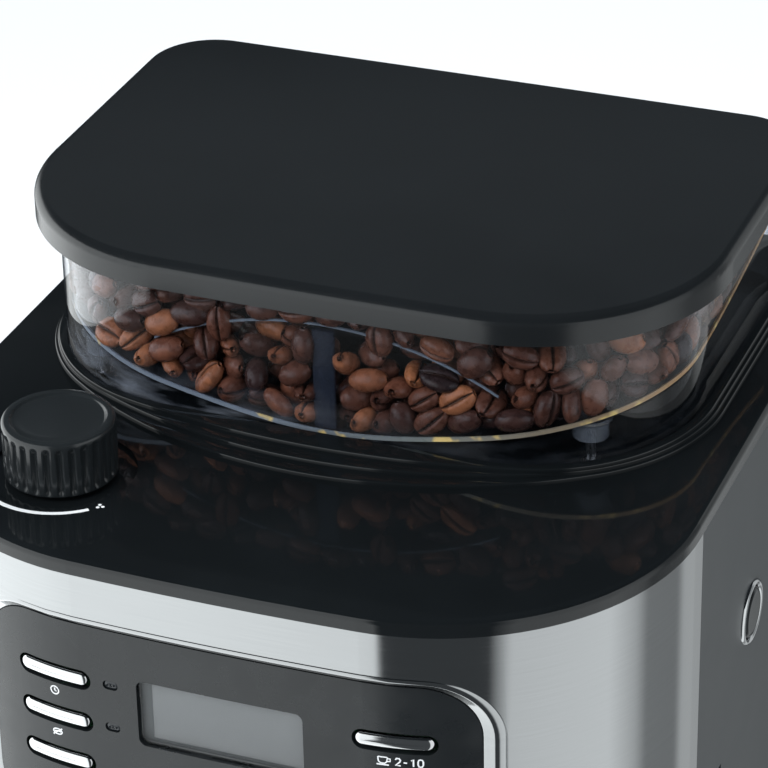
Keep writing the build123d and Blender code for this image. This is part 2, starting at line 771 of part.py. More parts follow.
def drive_motor():
    """Motor can with a stepped end cap, bored for its shaft."""
    can = post(0, MOTOR_Y, 21.0, CHAMBER_Z, 332.0)
    can = fillet(can.edges().group_by(Axis.Z)[-1], 3.0)
    can += post(0, MOTOR_Y, 8.0, 331.0, 336.0)
    for i in range(6):
        angle = pi * i / 3
        can -= post(15 * cos(angle), MOTOR_Y + 15 * sin(angle), 2.2, 326.0, 340.0)
    return can - post(0, MOTOR_Y, MOTOR_SHAFT_R + RUNNING, CHAMBER_Z - 1, 300.0)


def gearbox_plate():
    """Plate that carries the grinder housing and the motor, on four pillars, with the gear's pin."""
    outline = make_hull(
        [
            *(Pos(0, BURR_Y) * Circle(38)).edges(),
            *(Pos(0, MOTOR_Y) * Circle(25)).edges(),
        ]
    )
    plate = extrude(Pos(0, 0, PLATE_Z) * outline, CHAMBER_Z - PLATE_Z)
    plate -= post(0, BURR_Y, SHAFT_R + RUNNING, PLATE_Z - 1, CHAMBER_Z + 1)
    plate -= post(0, MOTOR_Y, 5.0, PLATE_Z - 1, CHAMBER_Z + 1)
    plate -= chute_space(PLATE_Z - 1, CHAMBER_Z + 1, 0)
    for x, y in ((-31, 4.5), (31, 4.5), (-19, 60), (19, 60)):
        plate += post(x, y, 3.5, HEAD_FLOOR_TOP, PLATE_Z)
    return plate + post(0, REDUCTION_Y, GEAR_PIN_R, HEAD_FLOOR_TOP, PLATE_Z)


def grinder_housing():
    """Burr chamber: a cup with a bearing in its floor and an outlet to the chute."""
    cup = post(0, BURR_Y, CHAMBER_R, CHAMBER_Z, CHAMBER_TOP)
    cup -= post(0, BURR_Y, CHAMBER_BORE_R, 300.0, CHAMBER_TOP + 1)
    cup -= post(0, BURR_Y, CHAMBER_BORE_R, CHAMBER_Z - 1, 296.0) - chute_space(CHAMBER_Z - 1, 296.0, 2.0)
    cup -= post(0, BURR_Y, SHAFT_R + RUNNING, 290.0, 302.0)
    return cup - chute_space(CHAMBER_Z - 1, 302.0, 0)


def chute_space(low, high, wall):
    """The upright passage that the grounds fall through, in front of the burr shaft's gear."""
    return block(-8 - wall, 8 + wall, -42.0 - wall, -36.0 + wall, low, high)


def grounds_chute():
    return chute_space(HEAD_BOTTOM - 3, PLATE_Z, 1.5) - chute_space(HEAD_BOTTOM - 9, PLATE_Z + 1, 0)


def head_floor():
    """Floor of the head, over the brew basket, with the pin that the basket turns on."""
    floor = body_slab(SKIN + PLASTIC_T, HEAD_BOTTOM, HEAD_FLOOR_TOP)
    floor &= block(-BODY_HALF, BODY_HALF, BODY_FRONT, COLUMN_Y + 32, 0, DECK)
    floor -= chute_space(HEAD_BOTTOM - 1, HEAD_FLOOR_TOP + 1, 1.5)
    for x, y in (RISER_IN, RISER_OUT):
        floor -= post(x, y, 4.6, HEAD_BOTTOM - 1, HEAD_FLOOR_TOP + 1)
    return floor + post(HINGE_X, HINGE_Y, HINGE_PIN_R, BASKET_BOTTOM, HEAD_BOTTOM)


def spray_head():
    """Shower plate that spreads hot water over the grounds."""
    low = HEAD_BOTTOM - 4.5
    arm = block(0, RISER_OUT[0], -13.0, 1.0, low, HEAD_BOTTOM)
    plate = post(0, -6.0, 25.0, low, HEAD_BOTTOM) + arm + post(*RISER_OUT, 7.0, low, HEAD_BOTTOM)
    plate -= post(0, -6.0, 22.5, low + 1.5, HEAD_BOTTOM + 1)
    plate -= block(0, RISER_OUT[0], -11.0, -1.0, low + 1.5, HEAD_BOTTOM + 1)
    plate -= post(*RISER_OUT, 5.0, low + 1.5, HEAD_BOTTOM + 1)
    for ring_r, count in ((8.0, 6), (16.0, 12)):
        for i in range(count):
            angle = 2 * pi * i / count
            plate -= post(ring_r * cos(angle), -6.0 + ring_r * sin(angle), 1.2, low - 1, low + 3)
    return plate


def water_tank():
    tank = block(-TANK_HALF, TANK_HALF, TANK_FRONT, TANK_BACK, BASE_TOP, TANK_TOP)
    tank = fillet(tank.edges().filter_by(Axis.Z), 8.0)
    half, front, back = TANK_HALF - PLASTIC_T, TANK_FRONT + PLASTIC_T, TANK_BACK - PLASTIC_T
    inner = block(-half, half, front, back, BASE_TOP + PLASTIC_T, TANK_TOP + 2)
    return tank - fillet(inner.edges().filter_by(Axis.Z), 5.5)


def riser_tube():
    """Silicone tube that takes hot water from the base up to the shower plate."""
    turn_z = 286.0
    in_x, in_y = RISER_IN
    out_x, out_y = RISER_OUT
    corners = [
        (in_x, in_y, BASE_TOP),
        (in_x, in_y, turn_z),
        (in_x, out_y, turn_z),
        (out_x, out_y, turn_z),
        (out_x, out_y, HEAD_BOTTOM),
    ]
    start = Plane(corners[0], x_dir=(1, 0, 0), z_dir=(0, 0, 1))
    return sweep(start * Circle(4.5), path=FilletPolyline(*corners, radius=14))


# ---- swing-out brew basket ----------------------------------------------------------------
def basket_reach(low, high):
    """The part of the front that swings: up to the hinge on the left and to the seam on the right."""
    left = block(-BODY_HALF, 0, BODY_FRONT, HINGE_Y - 6.2, low, high)
    return left + block(0, BODY_HALF, BODY_FRONT, BAY_Y - 1.5, low, high)


def basket_front():
    """Steel skin of the basket's front, with a finger notch in its lower edge."""
    skin = body_band(SKIN, SKIN + STEEL_T, BASKET_BOTTOM, BASKET_TOP)
    return (skin & basket_reach(BASKET_BOTTOM, BASKET_TOP)) - finger_notch()


def finger_notch():
    return window_prism(26, BASKET_BOTTOM - 12, BASKET_BOTTOM + 7, 6.9)


def basket_holder():
    """Liner, floor and cup of the brew basket, turning on a pin at its left end."""
    liner = body_band(SKIN + STEEL_T, 5.0, BASKET_BOTTOM, BASKET_TOP)
    liner &= basket_reach(BASKET_BOTTOM, BASKET_TOP)
    floor = body_slab(4.8, BASKET_BOTTOM, BASKET_BOTTOM + PLASTIC_T)
    floor &= block(-BODY_HALF, BODY_HALF, BODY_FRONT, HINGE_Y, 0, DECK)
    cup = post(0, BREW_Y, 52.0, BASKET_BOTTOM, 246.0)
    knuckle = post(HINGE_X, HINGE_Y, 6.0, BASKET_BOTTOM, BASKET_TOP)
    holder = liner + floor + cup + knuckle + block(HINGE_X, -107, -36, HINGE_Y, BASKET_BOTTOM, BASKET_TOP)
    holder -= post(0, BREW_Y, 49.5, 198.5, 300)
    holder -= post(0, BREW_Y, VALVE_R + RUNNING, 190, 200)
    holder -= post(HINGE_X, HINGE_Y, HINGE_PIN_R + RUNNING, 190, 300)
    return holder - finger_notch()


def filter_basket():
    """Drop-in filter cup with a rim and drain slots."""
    cup = post(0, BREW_Y, 48.0, 206.0, 248.0) - post(0, BREW_Y, 46.4, 207.8, 250.0)
    cup += pipe(0, BREW_Y, 51.0, 46.4, 246.3, 248.0)
    for i in range(12):
        angle = 30 * i
        cup -= Pos(0, BREW_Y, 206.5) * Rot(0, 0, angle) * block(12, 34, -1, 1, -2, 3)
    return cup


def drip_valve():
    """Spring-loaded stopper under the basket, which the carafe's lid lifts."""
    valve = post(0, BREW_Y, VALVE_R, 190.8, 199.5)
    valve += post(0, BREW_Y, 8.0, 198.8, 200.4)
    return fillet(valve.edges().group_by(Axis.Z)[0], 1.5)


# ---- carafe -------------------------------------------------------------------------------
def carafe_glass():
    low = CARAFE_LOW
    outer = []
    inner = []
    for radius, height in ((55, 0), (66.5, 26), (66.0, 52), (52, 96), (48, 114), (50, 126)):
        outer.append((radius, low + height))
        inner.append((radius - GLASS_T, low + max(height, GLASS_T)))
    profile = make_face(
        Curve()
        + [
            Line((0, low), outer[0]),
            Spline(*outer),
            Line(outer[-1], inner[-1]),
            Spline(*reversed(inner)),
            Line(inner[0], (0, low + GLASS_T)),
            Line((0, low + GLASS_T), (0, low)),
        ]
    )
    return Pos(0, BREW_Y, 0) * revolve(Plane.XZ * profile, Axis.Z, 360)


def carafe_handle():
    """Collar clamped under the carafe's rim, and a loop-shaped grip in front."""
    collar = pipe(0, BREW_Y, 55.0, 50.6, 158.0, 173.0)
    outline = make_face(
        Polyline((-74, 173), (-127, 173), (-127, 84), (-110, 84), (-112.5, 156), (-74, 160), close=True)
    )
    outline = fillet(outline.vertices().sort_by_distance((-127, 173, 0))[0], 14)
    outline = fillet(outline.vertices().sort_by_distance((-112.5, 156, 0))[0], 7)
    outline = fillet(outline.vertices().sort_by_distance((-127, 84, 0))[0], 6)
    outline = fillet(outline.vertices().sort_by_distance((-110, 84, 0))[0], 6)
    profile = Plane((-10, 0, 0), x_dir=(0, 1, 0), z_dir=(1, 0, 0)) * outline
    grip = extrude(profile, 20)
    return collar + (grip - post(0, BREW_Y, 51.0, 100, 200))


def carafe_lid():
    """Domed cover with a drip hole and a thumb tab over the handle."""
    dome = post(0, BREW_Y, 54.0, 173.3, CARAFE_LID_TOP)
    dome = fillet(dome.edges().group_by(Axis.Z)[-1], 8.0)
    dome += pipe(0, BREW_Y, 45.0, 43.0, 165.0, 174.0)
    dome -= post(0, BREW_Y, 43.0, 170.0, CARAFE_LID_TOP - 4)
    dome -= post(0, BREW_Y, DRIP_HOLE_R, 180.0, 192.0)
    tab = block(-9, 9, -92, -70, 175, 184)
    tab = fillet(tab.edges().filter_by(Axis.Z), 3.0) - post(0, BREW_Y, 50.0, 170.0, 192.0)
    return dome + tab


# ---- output -------------------------------------------------------------------------------
def named_parts():
    parts = {
        "base_plate": base_plate(),
        "rubber_feet": rubber_feet(),
        "base_housing": base_housing(),
        "hotplate": hotplate(),
        "heating_element": heating_element(),
        "cord_gland": cord_gland(),
        "side_panel_left": side_panel_left(),
        "side_panel_right": side_panel_right(),
        "column_wall": column_wall(),
        "back_cover": back_cover(),
        "level_window": level_window(),
        "front_shell": front_shell(),
        "panel_frame": panel_frame(),
        "control_panel": control_panel(),
        "indicator_lenses": indicator_lenses(),
        "display_window": display_window(),
        "display_module": display_module(),
        "control_board": control_board(),
        "release_bezel": release_bezel(),
        "release_button": release_button(),
        "top_deck": top_deck(),
        "tank_flap": tank_flap(),
        "hopper_surround": hopper_surround(),
        "hopper": hopper(),
        "hopper_screws": hopper_screws(),
        "bean_guard": bean_guard(),
        "coffee_beans": coffee_beans(),
        "hopper_lid": hopper_lid(),
        "grind_knob": grind_knob(),
        "knob_gear": knob_gear(),
        "adjust_idler": adjust_idler(),
        "adjust_ring": adjust_ring(),
        "ring_burr": ring_burr(),
        "cone_burr": cone_burr(),
        "burr_shaft": burr_shaft(),
        "reduction_gear": reduction_gear(),
        "motor_pinion": motor_pinion(),
        "drive_motor": drive_motor(),
        "gearbox_plate": gearbox_plate(),
        "grinder_housing": grinder_housing(),
        "grounds_chute": grounds_chute(),
        "head_floor": head_floor(),
        "spray_head": spray_head(),
        "water_tank": water_tank(),
        "riser_tube": riser_tube(),
        "basket_holder": basket_holder(),
        "basket_front": basket_front(),
        "filter_basket": filter_basket(),
        "drip_valve": drip_valve(),
        "carafe_glass": carafe_glass(),
        "carafe_handle": carafe_handle(),
        "carafe_lid": carafe_lid(),
    }
    for name, x, z in button_places():
        parts["button_" + name] = panel_button(x, z)
    return parts


os.makedirs("parts", exist_ok=True)
for node, shape in named_parts().items():
    shape.label = node
    export_step(shape, f"parts/{node}.step")
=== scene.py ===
"""Grind and brew coffee maker: the looks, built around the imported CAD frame. Metres, +Z up, -Y the front."""

import json
from math import atan2, cos, hypot, pi, radians, sin, sqrt

import bpy
import numpy as np
from mathutils import Matrix, Vector, kdtree


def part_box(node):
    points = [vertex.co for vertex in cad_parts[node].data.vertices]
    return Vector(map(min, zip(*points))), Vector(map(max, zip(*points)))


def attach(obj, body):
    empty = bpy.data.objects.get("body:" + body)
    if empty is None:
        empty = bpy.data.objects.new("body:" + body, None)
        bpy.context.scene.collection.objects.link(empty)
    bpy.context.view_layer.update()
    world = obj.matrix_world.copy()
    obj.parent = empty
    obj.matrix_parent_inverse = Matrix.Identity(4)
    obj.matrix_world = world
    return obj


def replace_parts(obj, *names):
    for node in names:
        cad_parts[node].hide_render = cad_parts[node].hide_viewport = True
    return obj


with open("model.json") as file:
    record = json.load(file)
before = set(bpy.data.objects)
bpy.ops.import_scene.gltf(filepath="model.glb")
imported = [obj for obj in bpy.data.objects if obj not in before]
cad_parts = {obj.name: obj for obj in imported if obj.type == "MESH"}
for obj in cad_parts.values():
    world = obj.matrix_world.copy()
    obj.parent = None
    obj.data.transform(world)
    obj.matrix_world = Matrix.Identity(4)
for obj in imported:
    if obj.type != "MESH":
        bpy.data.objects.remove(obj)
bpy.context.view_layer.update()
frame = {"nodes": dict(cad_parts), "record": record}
nodes = frame["nodes"]

MM = 0.001

# ---- sizes taken from the frame -------------------------------------------------------------
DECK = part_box("top_deck")[1].z
BODY_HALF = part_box("top_deck")[1].x
BODY_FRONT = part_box("top_deck")[0].y
LID_LOW, LID_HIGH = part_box("hopper_lid")
KNOB_LOW, KNOB_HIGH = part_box("grind_knob")
PANEL_LOW, PANEL_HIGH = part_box("control_panel")
FRAME_LOW, FRAME_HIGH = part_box("panel_frame")
KNOB_XY = ((KNOB_LOW.x + KNOB_HIGH.x) / 2, (KNOB_LOW.y + KNOB_HIGH.y) / 2)
BURR_Y = (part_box("ring_burr")[0].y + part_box("ring_burr")[1].y) / 2
GUARD_LOW, GUARD_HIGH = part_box("bean_guard")

# ---- sizes that the frame's boxes don't give ------------------------------------------------
BODY_BOW_R = 1082 * MM
BODY_CORNER_R = 78.8 * MM
LID_BOW_R = 2600 * MM
LID_CORNER_R = 61.6 * MM
LID_BACK_R = 22 * MM
FUNNEL_SLOPE = 0.265
PANEL_INSET = 3.6 * MM
PANEL_R, SURROUND_R = 17 * MM, 21.5 * MM
KNOB_FLUTES = 28
FLUTE_DEPTH = 1.1 * MM
SCALE_R = 24.6 * MM
BOSS_X, BOSS_Y = 79 * MM, -28.6 * MM
GUARD_RISE = 14 * MM
GUARD_THICK = 1.8 * MM
GUARD_ARCH_R = (GUARD_HIGH.x**2 + GUARD_RISE**2) / (2 * GUARD_RISE)
GUARD_POSTS = [(x * MM, y) for x, y in
               ((0, GUARD_LOW.y + 2.2 * MM), (-50, GUARD_HIGH.y - 2 * MM), (50, GUARD_HIGH.y - 2 * MM))]


def funnel_z(radius):
    """Height of the hopper floor at a distance from the burr axis."""
    return DECK + 4.6 * MM + FUNNEL_SLOPE * (radius - 37 * MM)


def front_point(x, inset):
    """The body's front outline at x, pulled in by inset: its y and the surface's turn towards +X."""
    corner_x = BODY_HALF - BODY_CORNER_R
    bow_y = BODY_FRONT + BODY_BOW_R
    corner_y = bow_y - sqrt((BODY_BOW_R - BODY_CORNER_R) ** 2 - corner_x**2)
    meet_x = corner_x * (BODY_BOW_R - inset) / (BODY_BOW_R - BODY_CORNER_R)
    if abs(x) <= meet_x:
        return bow_y - sqrt((BODY_BOW_R - inset) ** 2 - x**2), x / BODY_BOW_R
    side = 1 if x > 0 else -1
    run = min(abs(x) - corner_x, BODY_CORNER_R - inset)
    drop = sqrt((BODY_CORNER_R - inset) ** 2 - run**2)
    return corner_y - drop, side * atan2(run, drop)


# ---- material building blocks ---------------------------------------------------------------
class Shader:
    """A node material under construction, with a Principled shader ready to use."""

    def __init__(self, name, colour, rough, **values):
        self.material = bpy.data.materials.new(name)
        self.material.use_nodes = True
        self.nodes = self.material.node_tree.nodes
        self.links = self.material.node_tree.links
        self.bsdf = self.nodes["Principled BSDF"]
        self.output = self.nodes["Material Output"]
        self.set("Base Color", (*colour, 1))
        self.set("Roughness", rough)
        for key, value in values.items():
            self.set(key.replace("_", " "), value)

    def set(self, socket, value):
        self.bsdf.inputs[socket].default_value = value

    def add(self, kind, inputs=None, **settings):
        node = self.nodes.new("ShaderNode" + kind)
        for key, value in settings.items():
            setattr(node, key, value)
        for key, value in (inputs or {}).items():
            if isinstance(value, bpy.types.NodeSocket):
                self.links.new(value, node.inputs[key])
            else:
                node.inputs[key].default_value = value
        return node

    def place(self, scale=(1, 1, 1)):
        """The piece's own coordinates in metres, stretched by scale."""
        coord = self.add("TexCoord").outputs["Object"]
        return self.add("Mapping", {"Vector": coord, "Scale": scale}).outputs[0]

    def noise(self, size, detail=3.0, stretch=(1, 1, 1)):
        scale = tuple(s / size for s in stretch)
        made = self.add("TexNoise", {"Vector": self.place(scale), "Scale": 1.0, "Detail": detail})
        return made.outputs["Fac"]

    def span(self, value, low, high, from_low=0.3, from_high=0.7):
        ends = {"From Min": from_low, "From Max": from_high, "To Min": low, "To Max": high}
        return self.add("MapRange", {"Value": value, **ends}).outputs[0]

    def tint(self, value, stops):
        """A colour ramp: stops are (position, colour)."""
        ramp = self.add("ValToRGB", {"Fac": value})
        while len(ramp.color_ramp.elements) < len(stops):
            ramp.color_ramp.elements.new(0.5)
        for element, (position, colour) in zip(ramp.color_ramp.elements, stops):
            element.position = position
            element.color = (*colour, 1)
        return ramp.outputs["Color"]

    def drive(self, socket, value):
        self.links.new(value, self.bsdf.inputs[socket])

    def bump(self, height, depth, strength=1.0):
        made = self.add("Bump", {"Height": height, "Distance": depth, "Strength": strength})
        self.drive("Normal", made.outputs[0])


def shade(colour, factor):
    return tuple(c * factor for c in colour)


def shades_of(colour, spread):
    """Colour stops from a little darker than a colour to a little lighter."""
    return [(0.3, shade(colour, 1 - spread)), (0.7, shade(colour, 1 + spread))]


def moulded(name, colour, rough, grain=0.0009, depth=0.00003, spread=0.12):
    """Moulded plastic: fine texture in the surface, slightly uneven gloss and colour."""
    s = Shader(name, colour, rough)
    fine = s.noise(grain, 2.0)
    broad = s.noise(0.06, 4.0)
    s.drive("Base Color", s.tint(broad, shades_of(colour, spread)))
    s.drive("Roughness", s.span(broad, rough * 0.92, min(rough * 1.1, 1)))
    s.bump(fine, depth)
    return s.material


def glossy(name, colour, rough=0.05):
    """High-gloss plastic with the faint waviness of a moulded face."""
    s = Shader(name, colour, rough)
    wave = s.noise(0.035, 2.0)
    smear = s.noise(0.012, 5.0)
    s.drive("Base Color", s.tint(wave, [(0.35, shade(colour, 0.9)), (0.65, shade(colour, 1.1))]))
    s.drive("Roughness", s.span(smear, rough * 0.8, rough * 1.5))
    s.bump(wave, 0.00002, 0.4)
    return s.material


def brushed(name, colour, rough, stretch, grain=0.0004, contrast=0.10, height=0.000012):
    """Brushed metal: long fine lines along one direction in colour, gloss and height."""
    s = Shader(name, colour, rough, Metallic=1.0)
    lines = s.noise(grain, 3.0, stretch)
    broad = s.noise(0.08, 2.0)
    both = s.add("Math", {0: lines, 1: broad}, operation="ADD").outputs[0]
    half = s.add("Math", {0: both, 1: 0.5}, operation="MULTIPLY").outputs[0]
    s.drive("Base Color", s.tint(half, shades_of(colour, contrast)))
    s.drive("Roughness", s.span(lines, rough * 0.8, rough * 1.25))
    s.bump(lines, height, 0.5)
    return s.material


def polished(name, colour, rough):
    s = Shader(name, colour, rough, Metallic=1.0)
    smear = s.noise(0.01, 4.0)
    s.drive("Base Color", s.tint(smear, [(0.3, shade(colour, 0.95)), (0.7, colour)]))
    s.drive("Roughness", s.span(smear, rough * 0.7, rough * 1.5))
    return s.material


def see_through(name, tint, rough=0.02, face_on=0.03, body=0.0, body_colour=(0.8, 0.85, 0.9), painted_haze=None):
    """Thin clear plastic or glass: tinted where it's looked through, a mirror where it's grazed.
    face_on is its reflectance seen straight on, body the share of milky material in it; the last argument,
    when given, works that share out from the shader instead, for a painted haze."""
    s = Shader(name, body_colour, 0.35)
    smear = s.noise(0.02, 3.0)
    clear_tint = s.tint(smear, [(0.3, shade(tint, 0.985)), (0.7, tint)])
    clear = s.add("BsdfTransparent", {"Color": clear_tint}).outputs[0]
    gloss_rough = s.span(smear, rough * 0.7, rough * 1.6)
    gloss = s.add("BsdfGlossy", {"Color": (1, 1, 1, 1), "Roughness": gloss_rough}).outputs[0]
    milky = s.add("MixShader", {"Fac": painted_haze(s) if painted_haze else body, 1: clear, 2: s.bsdf.outputs[0]}).outputs[0]
    graze = s.add("LayerWeight", {"Blend": 0.5}).outputs["Facing"]
    fifth = s.add("Math", {0: graze, 1: 5.0}, operation="POWER").outputs[0]
    share = s.span(fifth, face_on, 1.0, 0.0, 1.0)
    mixed = s.add("MixShader", {"Fac": share, 1: milky, 2: gloss})
    s.links.new(mixed.outputs[0], s.output.inputs["Surface"])
    return s.material


def beans_material():
    """Roasted beans: each has its own brown, painted shade darkening its crease, and an oily sheen."""
    s = Shader("coffee_beans", (0.15, 0.06, 0.03), 0.4, IOR=1.45)
    tone = s.add("Attribute", attribute_name="tone").outputs["Fac"]
    groove = s.add("Attribute", attribute_name="groove").outputs["Fac"]
    roast = s.tint(tone, [
        (0.0, (0.020, 0.013, 0.014)), (0.35, (0.072, 0.029, 0.020)),
        (0.7, (0.165, 0.060, 0.034)), (1.0, (0.42, 0.155, 0.065)),
    ])
    mottle = s.noise(0.0022, 4.0)
    shadow = s.tint(mottle, [(0.3, (0.62, 0.6, 0.6)), (0.7, (1.12, 1.12, 1.1))])
    both = {"Factor": 1.0, 6: roast, 7: shadow}
    skin = s.add("Mix", both, data_type="RGBA", blend_type="MULTIPLY").outputs[2]
    # painted shade: the crease darkened to near black
    line = s.add("Mix", {"Factor": groove, 6: skin, 7: (0.02, 0.009, 0.006, 1)}, data_type="RGBA").outputs[2]
    s.drive("Base Color", line)
    s.drive("Roughness", s.span(mottle, 0.2, 0.38))
    s.bump(s.noise(0.0011, 4.0), 0.00012, 0.5)
    return s.material


def circuit_material():
    s = Shader("circuit_board", (0.02, 0.14, 0.05), 0.3)
    tracks = s.add("TexBrick", {"Vector": s.place((300, 300, 300)), "Scale": 1.0, "Mortar Size": 0.05,
                                "Color1": (0.02, 0.13, 0.05, 1), "Color2": (0.015, 0.11, 0.04, 1),
                                "Mortar": (0.05, 0.25, 0.09, 1)})
    s.drive("Base Color", tracks.outputs["Color"])
    s.bump(tracks.outputs["Fac"], 0.00004)
    return s.material


def display_material():
    """Unlit liquid crystal: grey-green, paler towards the top, with a fine pixel grain."""
    s = Shader("display_grey", (0.15, 0.17, 0.18), 0.45)
    height = s.add("SeparateXYZ", {0: s.place()}).outputs["Z"]
    blend = s.span(height, 0.0, 1.0, 0.302, 0.324)
    s.drive("Base Color", s.tint(blend, [
        (0.0, (0.215, 0.215, 0.215)), (0.3, (0.195, 0.197, 0.198)), (1.0, (0.225, 0.227, 0.228)),
    ]))
    s.drive("Roughness", s.span(s.noise(0.01), 0.4, 0.5))
    return s.material


MATERIALS = {
    "black_satin": moulded("black_satin", (0.016, 0.0175, 0.019), 0.42),
    "rubber": moulded("rubber", (0.02, 0.02, 0.02), 0.75, grain=0.0006, depth=0.00005),
    "hotplate_coating": moulded("hotplate_coating", (0.022, 0.022, 0.024), 0.32, grain=0.0005, depth=0.00004),
    "aluminium": brushed("aluminium", (0.62, 0.62, 0.63), 0.35, (1, 1, 1)),
    "side_grey": moulded("side_grey", (0.030, 0.035, 0.038), 0.34, grain=0.0007, depth=0.000015),
    "clear_plastic": see_through("clear_plastic", (0.93, 0.945, 0.975), rough=0.015, face_on=0.025),
    "brushed_steel": brushed("brushed_steel", (0.435, 0.445, 0.452), 0.095, (0.012, 0.012, 1),
                             contrast=0.04, height=0.000004),
    "panel_gloss": glossy("panel_gloss", (0.010, 0.012, 0.0135), 0.26),
    "indicator_lens": moulded("indicator_lens", (0.022, 0.025, 0.028), 0.12),
    "display_window": see_through("display_window", (0.90, 0.91, 0.915), rough=0.05, face_on=0.02),
    "display_grey": display_material(),
    "circuit_board": circuit_material(),
    "chrome": polished("chrome", (0.68, 0.69, 0.70), 0.08),
    "deck_gloss": glossy("deck_gloss", (0.0065, 0.008, 0.009), 0.04),
    "plain_steel": brushed("plain_steel", (0.50, 0.50, 0.51), 0.28, (1, 1, 0.2)),
    "coffee_beans": beans_material(),
    "lid_satin": moulded("lid_satin", (0.0085, 0.0100, 0.0112), 0.2, grain=0.0012, depth=0.000002),
    "knob_black": moulded("knob_black", (0.014, 0.0165, 0.018), 0.17, grain=0.0008, depth=0.000004),
    "white_nylon": moulded("white_nylon", (0.70, 0.69, 0.64), 0.45),
    "motor_can": brushed("motor_can", (0.42, 0.42, 0.43), 0.30, (1, 1, 0.1)),
    "tank_clear": see_through("tank_clear", (0.86, 0.90, 0.93), rough=0.12, face_on=0.02, body=0.12),
    "silicone": moulded("silicone", (0.55, 0.53, 0.48), 0.5),
    "carafe_glass": see_through("carafe_glass", (0.975, 0.985, 0.985), rough=0.01, face_on=0.04),
}
PRINT_WHITE = moulded("print_white", (0.75, 0.76, 0.77), 0.5)


def hopper_painted_haze(s):
    """The hopper's foot is milky at its left, where the thick moulding gathers light: a painted haze of
    reflected light, strongest low down and at the left, in streaks.
    """
    split = s.add("SeparateXYZ", {0: s.place()})
    # painted haze, strongest just above the deck and towards the left
    rise = s.span(split.outputs["Z"], 1.0, 0.0, DECK + 3 * MM, DECK + 17 * MM)
    left = s.span(split.outputs["X"], 1.0, 0.06, -95 * MM, 5 * MM)
    # the painted haze broken into streaks
    painted_streaks = s.span(s.noise(0.014, 2.0, (1, 1, 4)), 0.0, 0.42, 0.45, 0.72)
    both = s.add("Math", {0: rise, 1: left}, operation="MULTIPLY").outputs[0]
    return s.add("Math", {0: both, 1: painted_streaks}, operation="MULTIPLY").outputs[0]


NODE_MATERIALS = {
    # the hopper's milky share and its bluish body colour are a painted haze at its foot
    "hopper": see_through("hopper_clear", (0.93, 0.945, 0.975), rough=0.015, face_on=0.025,
                          body_colour=(0.42, 0.47, 0.56), painted_haze=hopper_painted_haze),
    "release_button": polished("release_dark", (0.035, 0.04, 0.043), 0.1),
}


def dress_nodes():
    for entry in frame["record"]["subparts"]:
        piece = nodes[entry["node"]]
        material = NODE_MATERIALS.get(entry["node"]) or MATERIALS[entry["material_slot"]]
        if not piece.data.materials:
            piece.data.materials.append(material)
        for index in range(len(piece.data.materials)):
            piece.data.materials[index] = material


# ---- making pieces --------------------------------------------------------------------------
def add_piece(name, verts, faces, slot, body, smooth=True, material=None):
    mesh = bpy.data.meshes.new(name)
    mesh.from_pydata([tuple(v) for v in verts], [], faces)
    mesh.validate()
    mesh.update()
    piece = bpy.data.objects.new(name, mesh)
    bpy.context.scene.collection.objects.link(piece)
    mesh.materials.append(material or MATERIALS[slot])
    if smooth:
        mesh.shade_smooth()
    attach(piece, body)
    return piece


def grid_faces(rows, columns, closed_rows=False, closed_columns=False):
    """Quads of a grid of vertices stored row by row."""
    faces = []
    for r in range(rows if closed_rows else rows - 1):
        for c in range(columns if closed_columns else columns - 1):
            row, next_row = r * columns, (r + 1) % rows * columns
            next_c = (c + 1) % columns
            faces.append((row + c, row + next_c, next_row + next_c, next_row + c))
    return faces


# ---- outlines and swept shapes --------------------------------------------------------------
def arc_points(centre, radius, start, end, count):
    angles = [start + (end - start) * i / count for i in range(count)]
    return [(centre[0] + radius * cos(a), centre[1] + radius * sin(a)) for a in angles]


def line_points(start, end, count):
    run, rise = end[0] - start[0], end[1] - start[1]
    return [(start[0] + run * i / count, start[1] + rise * i / count) for i in range(count)]


def circle(radius, count=20, cx=0.0, cy=0.0):
    angles = [2 * pi * i / count for i in range(count)]
    return [(cx + radius * cos(a), cy + radius * sin(a)) for a in angles]


def moved(points, x, y, scale=MM):
    return [(x + u * scale, y + v * scale) for u, v in points]


def rounded_outline(half, front, back, bow_r, front_r, back_r):
    """Closed plan outline with a bowed front, large front corners and smaller back ones: 168 points."""
    corner_x = half - front_r
    bow_y = front + bow_r
    corner_y = bow_y - sqrt((bow_r - front_r) ** 2 - corner_x**2)
    swing = atan2(corner_x, bow_y - corner_y)
    back_x, back_y = half - back_r, back - back_r
    points = arc_points((0, bow_y), bow_r, -pi / 2 - swing, -pi / 2 + swing, 30)
    points += arc_points((corner_x, corner_y), front_r, -pi / 2 + swing, 0, 30)
    points += line_points((half, corner_y), (half, back_y), 12)
    points += arc_points((back_x, back_y), back_r, 0, pi / 2, 12)
    points += line_points((back_x, back), (-back_x, back), 30)
    points += arc_points((-back_x, back_y), back_r, pi / 2, pi, 12)
    points += line_points((-half, back_y), (-half, corner_y), 12)
    points += arc_points((-corner_x, corner_y), front_r, pi, 3 * pi / 2 - swing, 30)
    return points


def lid_outline(inset):
    return rounded_outline(LID_HIGH.x - inset, LID_LOW.y + inset, LID_HIGH.y - inset,
                           LID_BOW_R - inset, LID_CORNER_R - inset, LID_BACK_R - inset)


def window_outline(half, low, high, radius):
    """Closed rounded rectangle in X and Z, clockwise from the lower left corner. Always 120 points."""
    next_corner = {(-1, 0): (-half, high - radius), (-1, 1): (half - radius, high),
                   (1, 1): (half, low + radius), (1, 0): (-half + radius, low)}
    points = []
    for cx, cz, start in ((-1, 0, 3 * pi / 2), (-1, 1, pi), (1, 1, pi / 2), (1, 0, 0)):
        centre = (cx * (half - radius), high - radius if cz else low + radius)
        points += arc_points(centre, radius, start, start - pi / 2, 16)
        end_angle = start - pi / 2
        corner_end = (centre[0] + radius * cos(end_angle), centre[1] + radius * sin(end_angle))
        points += line_points(corner_end, next_corner[cx, cz], 14)
    return points


